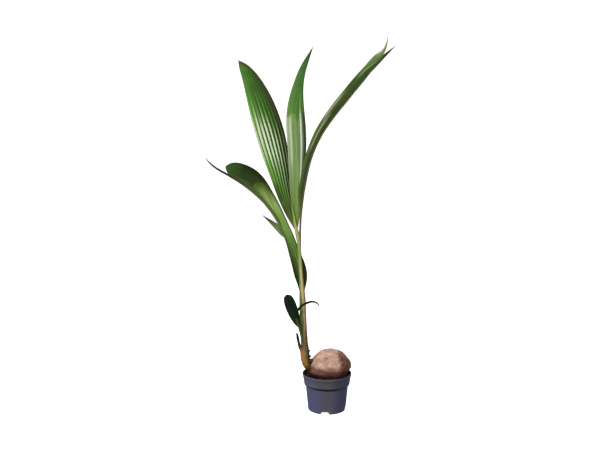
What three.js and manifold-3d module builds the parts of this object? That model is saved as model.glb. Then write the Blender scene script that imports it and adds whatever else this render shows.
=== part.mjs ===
// A young coconut palm, sprouted from a nut that lies half buried in a nursery pot.
// Millimetres, +Z up, the front towards -Y. The origin is the middle of the pot's flat underside.
// Four young leaves rise from one slender shoot. Young leaves are not feathered yet: each is
// one pleated blade that splits into two lobes.

import * as THREE from 'three';
import { mergeVertices } from 'three/addons/utils/BufferGeometryUtils.js';
import Module from 'manifold-3d';

const wasm = await Module();
wasm.setup();

// Clearance between neighbouring pieces
const GAP = 0.3;

// Vertices nearer than this are one vertex, and a curl under this counts as none
const MERGE_DISTANCE = 1e-4;
const LEAST_CURL = 1e-6;

// Pot: radii are to the outside of the wall
const POT = {
  height: 147,
  rimRadius: 96.5,
  collarHeight: 45,
  collarFootRadius: 89.5,
  bodyTopRadius: 83.5,
  bodyFootRadius: 74.5,
  footRound: 4,
  edgeRound: 1.5,
  wall: 2.4,
  padRadius: 38,
  footRingWidth: 6,
  undersideRise: 12,
  undersideSlope: 4,
  sides: 40,
};
const DRAIN = { count: 4, width: 33, height: 11, depth: 22, turn: -7.5 };

// Soil: a low mound, lumpy inside its calm rim, that has shrunk a little from the wall.
// Its lumps are the sum of waves that cross, each as steps along X and Y
const SOIL = {
  level: 138,
  mound: 3,
  shrunk: 1,
  calmRim: 12,
  lump: 0.8,
  lumpSpacing: 21,
  waves: [[1, 0], [0.48, 0.8], [-0.52, 1.3]],
  rings: 7,
};

// Nut in its husk: a blunt three-sided egg on its side, its stalk scar to the right
const NUT = {
  centre: [15, 12, 172],
  halfLength: 81,
  halfHeight: 70,
  halfDepth: 67,
  ridges: 3,
  ridge: 0.035,
  ridgeTurn: 0.5,
  point: 0.25,
  blunt: 0.1,
  lip: 0.2,
  lipHeight: 0.5,
  wrinkle: 1.1,
  wrinkleSpacing: 19,
  wrinkleWave: 2,
  yaw: 5,
  tilt: 2,
  around: 30,
  along: 20,
};
const SCAR = { radius: 14, length: 9, crown: 0.8, lobes: 6, bulge: 0.12, sunk: 8 };

// Shoot: rolled leaf bases that come out of the nut's left end and turn upwards
const STEM = {
  path: [[-48, 8, 158], [-66, 4, 164], [-81, 1, 192], [-86.5, 0, 240], [-93, 0, 345],
    [-97.8, 0, 470], [-105.5, 0, 590], [-110.5, 0, 662]],
  radius: [[0, 12], [0.08, 15], [0.14, 16.5], [0.19, 15.5], [0.24, 13.2], [0.31, 13], [0.46, 13.2],
    [0.6, 12.4], [0.7, 9.5], [1, 7.5]],
  sides: 12,
  rows: 20,
};

// Scale leaf at the foot: it clasps the shoot and ends in a free point
const SHEATH = {
  stemShares: [0.06, 0.1, 0.14, 0.18],
  facing: [-0.88, -0.47, 0],
  standOff: 2.4,
  freePath: [[-109, -9, 250], [-115, -8, 280], [-119, -7, 310]],
  left: [[0, 20], [0.2, 25], [0.38, 25], [0.5, 16], [0.62, 9.5], [0.76, 7.5], [0.9, 5.5], [1, 2.5]],
  side: [[0.47, -0.88, 0.2], [0.47, -0.88, 0.2], [0.9, -0.4, 0.2]],
  curl: [[0, 1.1], [0.4, 1.2], [0.6, 1], [1, 0.8]],
  thickness: [3, 2],
  rows: 12,
  columns: 6,
};

// Torn fibres of the husk that stand out beside the shoot's foot
const FIBRES = [
  { foot: [-80, -8, 229], tip: [-67, -12, 241], radius: 4.5 },
  { foot: [-76, -8, 212], tip: [-59, -13, 221], radius: 6 },
  { foot: [-72, -10, 194], tip: [-58, -14, 199], radius: 7 },
];
const FIBRE_TIP = 0.8;

// Front leaf: an upright leaf with two broad lobes
const FRONT_STALK = {
  path: [[-110, 0, 664], [-115, -1, 690], [-124, -2, 735], [-132, -2, 780], [-139, -1, 818]],
  radius: [[0, 7.3], [0.2, 8], [0.5, 5.5], [0.8, 3.6], [1, 1.6]],
  sides: 10,
  rows: 10,
};
const FRONT_LEFT_LOBE = {
  path: [[-119, 0, 706], [-136, 1, 760], [-164, 10, 860], [-193, 26, 980], [-225, 48, 1100],
    [-264, 76, 1221], [-302, 95, 1303], [-346, 110, 1365]],
  left: [[0, 3], [0.05, 11], [0.1, 20], [0.18, 30], [0.3, 40], [0.46, 53], [0.58, 57], [0.7, 54],
    [0.81, 44], [0.9, 30], [0.96, 16], [1, 1]],
  right: [[0, 3], [0.05, 11], [0.1, 20], [0.18, 31], [0.3, 43], [0.46, 57], [0.58, 61], [0.7, 56],
    [0.81, 45], [0.9, 32], [0.96, 19], [1, 1]],
  side: [[0.96, 0.2, 0], [0.96, 0.26, 0]],
  curl: [[0, 0.5], [1, 0.35]],
  thickness: [6.8, 2.4],
  pleat: 1.6,
  rows: 22,
  columns: 10,
};
const FRONT_RIGHT_LOBE = {
  path: [[-118, 1, 722], [-119, 4, 780], [-119, 13, 850], [-116, 26, 939], [-116, 37, 1030],
    [-119, 58, 1130], [-115, 85, 1223], [-97, 110, 1315], [-54, 145, 1421]],
  left: [[0, 5], [0.05, 14], [0.1, 19], [0.2, 27], [0.33, 35], [0.46, 40], [0.58, 41], [0.7, 32],
    [0.78, 23], [0.86, 16], [0.93, 9], [0.97, 4], [1, 1]],
  right: [[0, 5], [0.05, 14], [0.1, 19], [0.2, 27], [0.33, 36], [0.46, 43], [0.55, 42], [0.62, 36],
    [0.7, 27], [0.78, 18], [0.86, 12], [0.93, 6.5], [0.97, 3], [1, 1]],
  side: [[0.9, 0.4, 0], [0.93, 0.36, 0.1]],
  curl: [[0, 0.5], [1, 0.3]],
  thickness: [6.6, 2.4],
  pleat: 1.4,
  rows: 22,
  columns: 8,
};

// Right leaf: a long leaf folded along its midrib, with its far half a little behind its near one
const RIGHT_MIDRIB = [[-88, -29, 881], [-64, -41, 987], [-28, -56, 1070], [14, -71, 1134],
  [78, -95, 1215], [146, -119, 1300]];
const RIGHT_FOLD = 4;
const RIGHT_STALK = {
  path: [[-106, -2, 655], [-105.5, -6, 705], [-103.5, -11, 755], [-98, -18, 811], ...RIGHT_MIDRIB,
    [182, -134, 1350]],
  radius: [[0, 4.4], [0.3, 3.6], [0.7, 2.6], [1, 1.2]],
  sides: 8,
  rows: 22,
};
const RIGHT_NEAR_LOBE = {
  path: [[-101, -13, 775], ...RIGHT_MIDRIB, [170, -126, 1325], [208, -136, 1366],
    [237, -150, 1396]],
  left: [[0, 2], [0.05, 13], [0.12, 23], [0.2, 26], [0.35, 30], [0.5, 35], [0.65, 38], [0.78, 34],
    [0.88, 20], [0.95, 8], [1, 1]],
  right: [[0, 1.5], [1, 1.5]],
  side: [[0.85, 0.5, -0.1], [0.55, 0.45, -0.7], [0.6, 0.5, -0.6]],
  curl: [[0, 0], [1, 0]],
  thickness: [7, 2.4],
  pleat: 1,
  rows: 22,
  columns: 6,
};
const RIGHT_FAR_LOBE = {
  path: [[-101, -11, 775], ...RIGHT_MIDRIB.map(([x, y, z]) => [x, y + RIGHT_FOLD, z]),
    [178, -131, 1348], [197, -138, 1375], [205, -144, 1401], [206, -150, 1428]],
  left: [[0, 2], [0.1, 16], [0.2, 22], [0.35, 31], [0.5, 38], [0.65, 40], [0.78, 37],
    [0.88, 26], [0.95, 10], [1, 1]],
  right: [[0, 1.5], [1, 1.5]],
  side: [[0.85, -0.5, -0.1], [0.55, -0.45, -0.7], [0.75, -0.5, -0.5]],
  curl: [[0, 0], [1, 0]],
  thickness: [7, 2.4],
  pleat: 1,
  rows: 22,
  columns: 6,
};

// Left leaf: an older leaf that starts behind the shoot and arches over to the left
const LEFT_BLADE = {
  path: [[-98, 13, 455], [-101, 18, 520], [-113, 21, 575], [-131, 23, 630], [-153, 27, 690],
    [-179, 39, 745], [-216, 66, 809], [-262, 100, 872], [-306, 122, 914], [-355, 143, 938],
    [-405, 162, 948]],
  left: [[0, 6], [0.06, 18], [0.12, 28], [0.18, 29], [0.24, 27], [0.32, 22], [0.4, 20],
    [0.47, 20], [0.56, 24], [0.66, 32], [0.77, 42], [0.86, 45], [0.93, 40], [0.975, 27], [1, 9]],
  right: [[0, 6], [0.06, 18], [0.12, 27], [0.18, 28], [0.24, 24], [0.3, 22], [0.36, 21],
    [0.45, 20], [0.56, 24], [0.66, 28], [0.77, 36], [0.86, 36], [0.93, 32], [0.975, 24], [1, 12]],
  side: [[1, 0.05, 0.1], [0.95, 0.2, 0.3], [0.55, 0.3, 0.8], [0.3, 0.3, 0.95]],
  curl: [[0, -0.7], [0.4, -0.6], [0.7, 0.4], [1, 0.7]],
  thickness: [6, 2.4],
  pleat: 1.2,
  rows: 26,
  columns: 8,
};
const LEFT_TAIL = {
  path: [[-175, 28, 717], [-205, 36, 767], [-255.5, 57, 825], [-329, 80, 883], [-379, 88, 914],
    [-438, 99, 947], [-466, 105, 970], [-480, 111, 989]],
  left: [[0, 3], [0.15, 6], [0.5, 6], [0.8, 5], [0.92, 3.5], [1, 1]],
  side: [[0.65, 0.6, 0.4], [0.45, 0.6, 0.65]],
  curl: [[0, 0.3], [1, 0.3]],
  thickness: [4, 2],
  rows: 16,
  columns: 4,
};
const LEFT_POINT = {
  path: [[-152, 40, 686], [-173, 33, 702], [-197, 21, 724], [-224, 11, 748], [-252, 5, 770]],
  left: [[0, 17], [0.2, 17], [0.4, 13], [0.65, 8], [0.85, 3.5], [1, 1]],
  side: [[0.5, 0.5, 0.65], [0.6, 0.2, 0.7]],
  curl: [[0, 0], [1, 0.3]],
  thickness: [3, 2],
  rows: 8,
  columns: 4,
};

// Small leaf: the oldest one, low on the left, with a broad lobe and a thin one that curls over
const SMALL_STALK = {
  path: [[-92, -7, 254], [-96, -10, 280], [-103, -12, 314], [-114, -15, 348], [-122, -17, 372]],
  radius: [[0, 4], [0.25, 5.5], [0.5, 6], [1, 3]],
  sides: 8,
  rows: 6,
};
const SMALL_LOBE = {
  path: [[-107, -12, 328], [-120, -14, 360], [-134, -18, 398], [-148, -23, 438], [-158, -28, 465]],
  left: [[0, 3], [0.15, 13], [0.35, 20], [0.6, 23], [0.8, 21.5], [0.93, 15], [1, 5]],
  side: [[0.95, 0.1, 0.3], [0.95, 0.1, 0.3]],
  curl: [[0, 0.6], [1, 0.4]],
  thickness: [3, 2],
  pleat: 0.6,
  rows: 12,
  columns: 6,
};
const SMALL_CURL = {
  path: [[-123, -18, 368], [-120, -25, 390], [-110, -33, 411], [-88, -42, 431], [-61, -50, 442]],
  left: [[0, 3.5], [0.3, 5], [1, 5]],
  side: [[0.95, 0.2, -0.2], [0.7, 0.2, -0.7], [0.3, 0.3, -0.9]],
  curl: [[0, 0.4], [1, 0.4]],
  thickness: [2.6, 1.8],
  rows: 10,
  columns: 4,
};
const SMALL_CURL_TIP = {
  path: [[-60.4, -50.2, 442], [-48, -54, 441], [-37, -57, 434], [-31, -59, 421]],
  left: [[0, 5], [0.5, 4.2], [1, 1]],
  side: [[0.3, 0.3, -0.9], [-0.75, 0.3, -0.6]],
  curl: [[0, 0.4], [1, 0.2]],
  thickness: [2.6, 1.8],
  rows: 6,
  columns: 4,
};

const COLOURS = {
  pot: 0x50506c,
  soil: 0x241d18,
  husk: 0xa87f68,
  scar: 0x54392c,
  fibre: 0x2a211b,
  sheath: 0xa0673c,
  stem: 0xc9b98c,
  stalk: 0xb9bf78,
  blade: 0x4f8038,
  darkBlade: 0x2f4a22,
};

const vector = (point) => new THREE.Vector3(...point);
const degrees = THREE.MathUtils.degToRad;

// The value at t of a table of [t, value] pairs, with an even slope from pair to pair
function along(table, t) {
  let i = 0;
  while (i < table.length - 2 && t > table[i + 1][0]) i += 1;
  const [t0, v0] = table[i];
  const [t1, v1] = table[i + 1];
  const slope = (a, b) => (b[1] - a[1]) / (b[0] - a[0]);
  const middle = slope(table[i], table[i + 1]);
  const start = i > 0 ? (slope(table[i - 1], table[i]) + middle) / 2 : middle;
  const end = i < table.length - 2 ? (slope(table[i + 1], table[i + 2]) + middle) / 2 : middle;
  const span = t1 - t0;
  const s = THREE.MathUtils.clamp((t - t0) / span, 0, 1);
  return (2 * s ** 3 - 3 * s ** 2 + 1) * v0 + (s ** 3 - 2 * s ** 2 + s) * span * start
    + (3 * s ** 2 - 2 * s ** 3) * v1 + (s ** 3 - s ** 2) * span * end;
}

// The direction at t of a list of directions that are spread evenly from foot to tip
function turned(directions, t) {
  const place = t * (directions.length - 1);
  const i = Math.min(Math.floor(place), directions.length - 2);
  return vector(directions[i]).lerp(vector(directions[i + 1]), place - i);
}

// A closed geometry from rings of points that have the same count, with a strip cap at each end.
// Point k of a ring faces point count - 1 - k across the cap.
function loft(rings) {
  const count = rings[0].length;
  const positions = rings.flat().flatMap((point) => point.toArray());
  const index = [];
  for (let i = 0; i < rings.length - 1; i += 1) {
    for (let k = 0; k < count; k += 1) {
      const a = i * count + k;
      const b = i * count + ((k + 1) % count);
      index.push(a, b, b + count, a, b + count, a + count);
    }
  }
  const last = (rings.length - 1) * count;
  for (let k = 0; k < count / 2 - 1; k += 1) {
    const across = count - 1 - k;
    index.push(k, across, across - 1, k, across - 1, k + 1);
    index.push(last + k, last + across - 1, last + across, last + k, last + k + 1, last + across - 1);
  }
  const geometry = new THREE.BufferGeometry();
  geometry.setAttribute('position', new THREE.Float32BufferAttribute(positions, 3));
  geometry.setIndex(index);
  return geometry;
}

// A point at t on a curve, carried past the curve's ends by grow. The sign is -1 at the foot, 1 at
// the tip and 0 between them.
function reach(curve, t, grow) {
  const sign = Math.trunc(2 * t - 1);
  return curve.getPointAt(t).addScaledVector(curve.getTangentAt(t), sign * grow);
}

// A tapering round limb along its path
function limb({ path, radius, sides, rows }, grow = 0) {
  const curve = new THREE.CatmullRomCurve3(path.map(vector));
  const rings = [];
  for (let i = 0; i <= rows; i += 1) {
    const t = i / rows;
    const centre = reach(curve, t, grow);
    const tangent = curve.getTangentAt(t);
    const side = new THREE.Vector3(0, 1, 0).addScaledVector(tangent, -tangent.y).normalize();
    const front = tangent.clone().cross(side);
    const r = along(radius, t) + grow;
    rings.push(Array.from({ length: sides }, (_, k) => {
      const angle = (2 * Math.PI * k) / sides;
      const point = centre.clone().addScaledVector(side, r * Math.cos(angle));
      return point.addScaledVector(front, r * Math.sin(angle));
    }));
  }
  return loft(rings);
}

// Points beside the stem, at shares of its length: each stands off its bark on the side that it faces
function besideStem({ stemShares, facing, standOff }) {
  const stem = new THREE.CatmullRomCurve3(STEM.path.map(vector));
  return stemShares.map((share) => {
    const tangent = stem.getTangentAt(share);
    const outward = vector(facing);
    outward.addScaledVector(tangent, -outward.dot(tangent)).normalize();
    const distance = along(STEM.radius, share) + standOff;
    return stem.getPointAt(share).addScaledVector(outward, distance).toArray();
  });
}

// A thin blade along its midrib: curl bends it across, pleats fold it lengthways,
// and it thins from thickness[0] at the midrib to thickness[1] at its edges
function blade({ path, left, right = left, side, curl, thickness, pleat = 0, rows, columns }, grow = 0) {
  const curve = new THREE.CatmullRomCurve3(path.map(vector));
  const rings = [];
  for (let i = 0; i <= rows; i += 1) {
    const t = i / rows;
    const centre = reach(curve, t, grow);
    const tangent = curve.getTangentAt(t);
    const across = turned(side, t);
    across.addScaledVector(tangent, -across.dot(tangent)).normalize();
    const normal = across.clone().cross(tangent);
    const bend = along(curl, t);
    const faces = [[], []];
    for (let j = 0; j <= columns; j += 1) {
      const u = (2 * j) / columns - 1;
      const half = along(u < 0 ? left : right, t) + grow;
      const inner = j > 0 && j < columns ? 1 : 0;
      const sharp = bend === 0 ? LEAST_CURL : bend;
      const reachAcross = (half * Math.sin(sharp * u)) / sharp;
      const taper = Math.min(1, half / thickness[0]);
      const ripple = inner * pleat * taper * (j % 2 === 0 ? -0.5 : 0.5);
      const height = (-half * (1 - Math.cos(sharp * u))) / sharp + ripple;
      const thick = THREE.MathUtils.lerp(thickness[0] * taper, thickness[1], u * u);
      const halfThick = Math.max(thick, thickness[1]) / 2 + grow;
      const middle = centre.clone().addScaledVector(across, reachAcross);
      faces[0].push(middle.clone().addScaledVector(normal, height + halfThick));
      faces[1].unshift(middle.clone().addScaledVector(normal, height - halfThick));
    }
    rings.push([...faces[0], ...faces[1]]);
  }
  return loft(rings);
}

function toSolid(geometry) {
  geometry.deleteAttribute('normal');
  geometry.deleteAttribute('uv');
  const merged = mergeVertices(geometry, MERGE_DISTANCE);
  return new wasm.Manifold(new wasm.Mesh({
    numProp: 3,
    vertProperties: new Float32Array(merged.getAttribute('position').array),
    triVerts: new Uint32Array(merged.getIndex().array),
  }));
}

// A solid less the space that its neighbours need; loose scraps are dropped
function clearOf(body, neighbours) {
  const cut = neighbours.reduce((rest, neighbour) => rest.subtract(neighbour), body);
  return cut.decompose().sort((a, b) => b.volume() - a.volume())[0];
}

function toGeometry(solid) {
  const { vertProperties, triVerts } = solid.getMesh();
  const geometry = new THREE.BufferGeometry();
  geometry.setAttribute('position', new THREE.Float32BufferAttribute(vertProperties, 3));
  geometry.setIndex(Array.from(triVerts));
  geometry.computeVertexNormals();
  return geometry;
}

// The outside and inside of the pot's wall, each from the axis outwards and up
function potOutside() {
  const ringInner = POT.bodyFootRadius - POT.footRound - POT.footRingWidth;
  const collarFoot = POT.height - POT.collarHeight;
  return [
    [0, 0],
    [POT.padRadius, 0],
    [POT.padRadius + POT.undersideSlope, POT.undersideRise],
    [ringInner - POT.undersideSlope / 2, POT.undersideRise],
    [ringInner, 0],
    [POT.bodyFootRadius - POT.footRound, 0],
    [POT.bodyFootRadius - POT.footRound / 4, POT.footRound / 2],
    [POT.bodyFootRadius, POT.footRound * 2],
    [POT.bodyTopRadius, collarFoot],
    [POT.collarFootRadius - POT.edgeRound / 2, collarFoot],
    [POT.collarFootRadius, collarFoot + POT.edgeRound],
    [POT.rimRadius, POT.height - POT.edgeRound],
    [POT.rimRadius - POT.edgeRound / 2, POT.height],
  ];
}

function potInside(grow) {
  const collarFoot = POT.height - POT.collarHeight;
  const { wall } = POT;
  return [
    [POT.rimRadius - wall - grow, POT.height],
    [POT.collarFootRadius - wall - grow, collarFoot + 2 * wall + grow],
    [POT.bodyTopRadius - wall - grow, collarFoot + wall + grow],
    [POT.bodyFootRadius - wall - grow, POT.undersideRise + wall + grow],
    [POT.padRadius - wall / 2 - grow, POT.undersideRise + wall + grow],
    [POT.padRadius - POT.undersideSlope - wall - grow, wall + grow],
    [0, wall + grow],
  ];
}

// A lathe turns about Y, so its points are swung up to +Z
function turnedGeometry(profile, sides) {
  const points = profile.map(([r, z]) => new THREE.Vector2(r, z));
  return new THREE.LatheGeometry(points, sides).rotateX(Math.PI / 2);
}

function makePot() {
  const shell = toSolid(turnedGeometry([...potOutside(), ...potInside(0)], POT.sides));
  const drains = Array.from({ length: DRAIN.count }, (_, k) => {
    const box = new THREE.BoxGeometry(DRAIN.width, DRAIN.depth, DRAIN.height * 2);
    box.translate(0, -POT.bodyFootRadius, 0);
    return toSolid(box.rotateZ((2 * Math.PI * k) / DRAIN.count + degrees(DRAIN.turn)));
  });
  return clearOf(shell, drains);
}

function lumps(x, y) {
  const step = (2 * Math.PI) / SOIL.lumpSpacing;
  return SOIL.waves.reduce((sum, [alongX, alongY]) => (
    sum + SOIL.lump * Math.sin((alongX * x + alongY * y) * step)), 0);
}

function makeSoil() {
  const inside = potInside(GAP).slice(1).reverse();
  const [collarFootRadius, collarFootZ] = potInside(GAP)[1];
  const slope = (POT.rimRadius - POT.collarFootRadius) / (POT.height - collarFootZ);
  const edge = collarFootRadius + slope * (SOIL.level - collarFootZ) - SOIL.shrunk;
  const surface = Array.from({ length: SOIL.rings + 1 }, (_, k) => {
    const share = 1 - k / SOIL.rings;
    return [edge * share, SOIL.level + SOIL.mound * (1 - share ** 2)];
  });
  const geometry = turnedGeometry([...inside, ...surface], POT.sides);
  const position = geometry.getAttribute('position');
  for (let i = 0; i < position.count; i += 1) {
    const [x, y, z] = [position.getX(i), position.getY(i), position.getZ(i)];
    const inner = THREE.MathUtils.smoothstep(edge - Math.hypot(x, y), 0, SOIL.calmRim);
    if (z > SOIL.level - SOIL.mound) position.setZ(i, z + inner * lumps(x, y));
  }
  return toSolid(geometry);
}

// The husk is a ball stretched along X, with blunt ridges and shallow wrinkles. Its lower left
// reaches further out, under the shoot
function makeNut(grow = 0) {
  const geometry = new THREE.SphereGeometry(1, NUT.around, NUT.along).rotateZ(-Math.PI / 2);
  const position = geometry.getAttribute('position');
  const step = (2 * Math.PI) / NUT.wrinkleSpacing;
  for (let i = 0; i < position.count; i += 1) {
    const [x, y, z] = [position.getX(i), position.getY(i), position.getZ(i)];
    const angle = Math.atan2(z, y);
    const round = Math.hypot(y, z);
    const ridge = 1 + NUT.ridge * Math.cos(NUT.ridges * (angle - NUT.ridgeTurn)) * round;
    const narrow = 1 - (x > 0 ? NUT.point : NUT.blunt) * x ** 2;
    const wander = NUT.wrinkleWave * Math.sin(NUT.ridges * angle);
    const wrinkle = NUT.wrinkle * Math.sin(x * NUT.halfLength * step + wander) * round;
    const spread = ridge * narrow + (wrinkle + grow) / NUT.halfHeight;
    const [deep, high] = [NUT.halfDepth * spread, NUT.halfHeight * spread];
    const lip = x < 0 ? NUT.lip * THREE.MathUtils.smoothstep(-z, 0, NUT.lipHeight) : 0;
    position.setXYZ(i, x * (1 + lip) * (NUT.halfLength + grow), y * deep, z * high);
  }
  return placeOnNut(geometry);
}

function placeOnNut(geometry) {
  geometry.rotateY(degrees(-NUT.tilt)).rotateZ(degrees(NUT.yaw)).translate(...NUT.centre);
  return toSolid(geometry);
}

// The scar of the nut's stalk: a low crown of stubs on the nut's right end
function makeScar(grow = 0) {
  const radius = SCAR.radius + grow;
  const length = SCAR.length + grow;
  const profile = [[0, 0], [radius, 0], [radius, length / 2], [radius * SCAR.crown, length],
    [0, length * SCAR.crown]];
  const geometry = turnedGeometry(profile, SCAR.lobes * 3).rotateY(Math.PI / 2);
  const position = geometry.getAttribute('position');
  for (let i = 0; i < position.count; i += 1) {
    const [x, y, z] = [position.getX(i), position.getY(i), position.getZ(i)];
    const scale = 1 + SCAR.bulge * Math.cos(SCAR.lobes * Math.atan2(z, y));
    position.setXYZ(i, x, y * scale, z * scale);
  }
  geometry.translate(NUT.halfLength - SCAR.sunk, 0, 0);
  return placeOnNut(geometry);
}

const palm = new THREE.Group();
const taken = [];

// Adds a piece, cut clear of the pieces that were added before it. make(grow) gives its solid,
// swollen by grow. The soil and the pot come last and swell for nobody: the soil's own outline
// keeps it clear of the pot's wall.
function add(name, make, color, roughness) {
  const solid = clearOf(make(0), taken);
  taken.push(make(GAP));
  const material = new THREE.MeshStandardMaterial({ color, roughness, metalness: 0 });
  const mesh = new THREE.Mesh(toGeometry(solid), material);
  mesh.name = name;
  palm.add(mesh);
}

const addLimb = (name, shape, color) => add(name, (grow) => toSolid(limb(shape, grow)), color, 0.5);
const addBlade = (name, shape, color) => add(name, (grow) => toSolid(blade(shape, grow)), color, 0.35);

// Shoot and nut
addLimb('stem', STEM, COLOURS.stem);
add('coconut', makeNut, COLOURS.husk, 0.8);
add('stalk_scar', makeScar, COLOURS.scar, 0.9);
const sheathPath = [...besideStem(SHEATH), ...SHEATH.freePath];
addBlade('outer_sheath', { ...SHEATH, path: sheathPath }, COLOURS.sheath);
FIBRES.forEach(({ foot, tip, radius }, i) => {
  const shape = { path: [foot, tip], radius: [[0, radius], [1, FIBRE_TIP]], sides: 6, rows: 2 };
  addLimb(`husk_fibre_${i + 1}`, shape, COLOURS.fibre);
});

// Leaves
addLimb('front_leaf_stalk', FRONT_STALK, COLOURS.stalk);
addLimb('right_leaf_stalk', RIGHT_STALK, COLOURS.stalk);
addLimb('small_leaf_stalk', SMALL_STALK, COLOURS.stalk);
addBlade('front_leaf_right_lobe', FRONT_RIGHT_LOBE, COLOURS.blade);
addBlade('front_leaf_left_lobe', FRONT_LEFT_LOBE, COLOURS.blade);
addBlade('right_leaf_near_lobe', RIGHT_NEAR_LOBE, COLOURS.darkBlade);
addBlade('right_leaf_far_lobe', RIGHT_FAR_LOBE, COLOURS.blade);
addBlade('left_leaf_blade', LEFT_BLADE, COLOURS.blade);
addBlade('left_leaf_tail', LEFT_TAIL, COLOURS.blade);
addBlade('left_leaf_side_point', LEFT_POINT, COLOURS.blade);
addBlade('small_leaf_lobe', SMALL_LOBE, COLOURS.darkBlade);
addBlade('small_leaf_curl', SMALL_CURL, COLOURS.darkBlade);
addBlade('small_leaf_curl_tip', SMALL_CURL_TIP, COLOURS.darkBlade);

// Soil, with room for what grows in it, and the pot
add('soil', makeSoil, COLOURS.soil, 0.95);
add('pot', makePot, COLOURS.pot, 0.55);

export default palm;
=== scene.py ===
"""A young coconut palm in a nursery pot: the looks of its pot, soil, nut, shoot and pleated leaves.

Sizes of shapes are in millimetres, as the plant was measured, and are turned into metres when a
mesh is made. The front is towards -Y. A leaf or limb follows the same midrib, widths and turns as
its solid in the frame, with pleats, veins and grooves added.
"""
import math

import bpy
import numpy as np
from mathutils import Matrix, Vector, noise


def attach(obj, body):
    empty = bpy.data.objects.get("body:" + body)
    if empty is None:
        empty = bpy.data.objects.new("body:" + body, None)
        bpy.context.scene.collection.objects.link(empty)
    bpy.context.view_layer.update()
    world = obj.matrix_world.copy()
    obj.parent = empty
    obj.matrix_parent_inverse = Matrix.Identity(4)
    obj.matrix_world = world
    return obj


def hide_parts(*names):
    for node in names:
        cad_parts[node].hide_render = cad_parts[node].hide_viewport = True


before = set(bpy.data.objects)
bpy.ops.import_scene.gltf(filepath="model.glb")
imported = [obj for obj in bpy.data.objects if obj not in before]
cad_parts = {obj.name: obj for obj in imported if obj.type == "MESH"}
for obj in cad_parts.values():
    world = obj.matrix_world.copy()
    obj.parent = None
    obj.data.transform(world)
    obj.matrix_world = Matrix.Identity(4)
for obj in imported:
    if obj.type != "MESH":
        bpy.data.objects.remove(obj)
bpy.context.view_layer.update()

MM = 0.001
SEED = 11

# The camera stands where the photograph was taken from, in metres, and looks down by CAMERA_PITCH
# degrees. FOCAL_PIXELS is its focal length in pixels of the photograph
CAMERA_PLACE = (-0.106, -3.06, 1.11)
CAMERA_PITCH = 7.04
SENSOR_WIDTH = 36
PHOTO_WIDTH = 600
FOCAL_PIXELS = 801
FOCAL_LENGTH = SENSOR_WIDTH * FOCAL_PIXELS / PHOTO_WIDTH

# Lights: place and aim in metres, power in watts, and width and height in metres
LIGHTS = {
    "key": ((-1.9, -2.3, 2.6), (-0.1, 0, 0.75), 110, (1.2, 1.2)),
    "fill": ((2.2, -1.6, 1.4), (0, 0, 0.6), 14, (1.2, 1.8)),
    "back": ((1.2, 2.8, 1.6), (-0.1, 0, 0.7), 40, (1.6, 1.6)),
}
WORLD_STRENGTH = 0.3

# The white room, in millimetres
FLOOR_HALF = 30000
BACKDROP_RADIUS = 25000

# Shoot
STEM = {
    "path": [(-48, 8, 158), (-66, 4, 164), (-81, 1, 192), (-86.5, 0, 240), (-93, 0, 345),
             (-97.8, 0, 470), (-105.5, 0, 590), (-110.5, 0, 662)],
    "radius": [(0, 12), (0.08, 15), (0.14, 16.5), (0.19, 15.5), (0.24, 13.2), (0.31, 13),
               (0.46, 13.2), (0.6, 12.4), (0.7, 9.5), (1, 7.5)],
}
# Edges of leaf bases on the shoot: the share of its length, the rise to one side, the turn where
# it is highest, in radians, and the step in its radius
SHEATH_EDGES = [(0.33, 0.07, 0.6, 1.0), (0.56, 0.1, 3.4, 0.9), (0.8, 0.08, 1.9, 0.7)]
SHEATH = {
    "stem_shares": [0.02, 0.06, 0.1, 0.14, 0.18],
    "facing": (-0.88, -0.47, 0),
    "stand_off": 2.4,
    "free_path": [(-109, -9, 250), (-115, -8, 280), (-119, -7, 310)],
    "left": [(0, 6), (0.1, 16), (0.2, 22), (0.32, 25), (0.5, 25), (0.585, 19), (0.65, 12),
             (0.72, 9.5), (0.8, 8.4), (0.91, 7), (0.97, 4.5), (1, 0.8)],
    "side": [(0.47, -0.88, 0.2), (0.47, -0.88, 0.2), (0.9, -0.4, 0.2)],
    "curl": [(0, 1.1), (0.4, 1.2), (0.6, 1), (1, 0.8)],
    "pleats": 5,
    "pleat_depth": 0.8,
}

# Stalks
FRONT_STALK = {
    "path": [(-108.5, 0, 640), (-110, 0, 664), (-115, -1, 690), (-124, -2, 735), (-132, -2, 780),
             (-139, -1, 818)],
    "radius": [(0, 4), (0.08, 6.4), (0.16, 7.5), (0.3, 7.8), (0.55, 5.4), (0.8, 3.2), (0.93, 1.6),
               (1, 0.2)],
}
RIGHT_MIDRIB = [(-88, -29, 881), (-64, -41, 987), (-28, -56, 1070), (14, -71, 1134),
                (78, -95, 1215), (146, -119, 1300)]
RIGHT_FOLD = 4
RIGHT_STALK = {
    "path": [(-108, -1, 630), (-106, -2, 655), (-105.5, -6, 705), (-103.5, -11, 755),
             (-98, -18, 811), *RIGHT_MIDRIB, (182, -134, 1350)],
    "radius": [(0, 4.2), (0.3, 3.6), (0.7, 2.4), (0.9, 1.2), (1, 0.1)],
}
SMALL_STALK = {
    "path": [(-88, -4, 236), (-92, -7, 254), (-96, -10, 280), (-103, -12, 314), (-114, -15, 348),
             (-122, -17, 372), (-126, -18, 386)],
    "radius": [(0, 3), (0.2, 5), (0.5, 5.8), (0.7, 4.8), (0.88, 2.8), (1, 0.2)],
}

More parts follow.
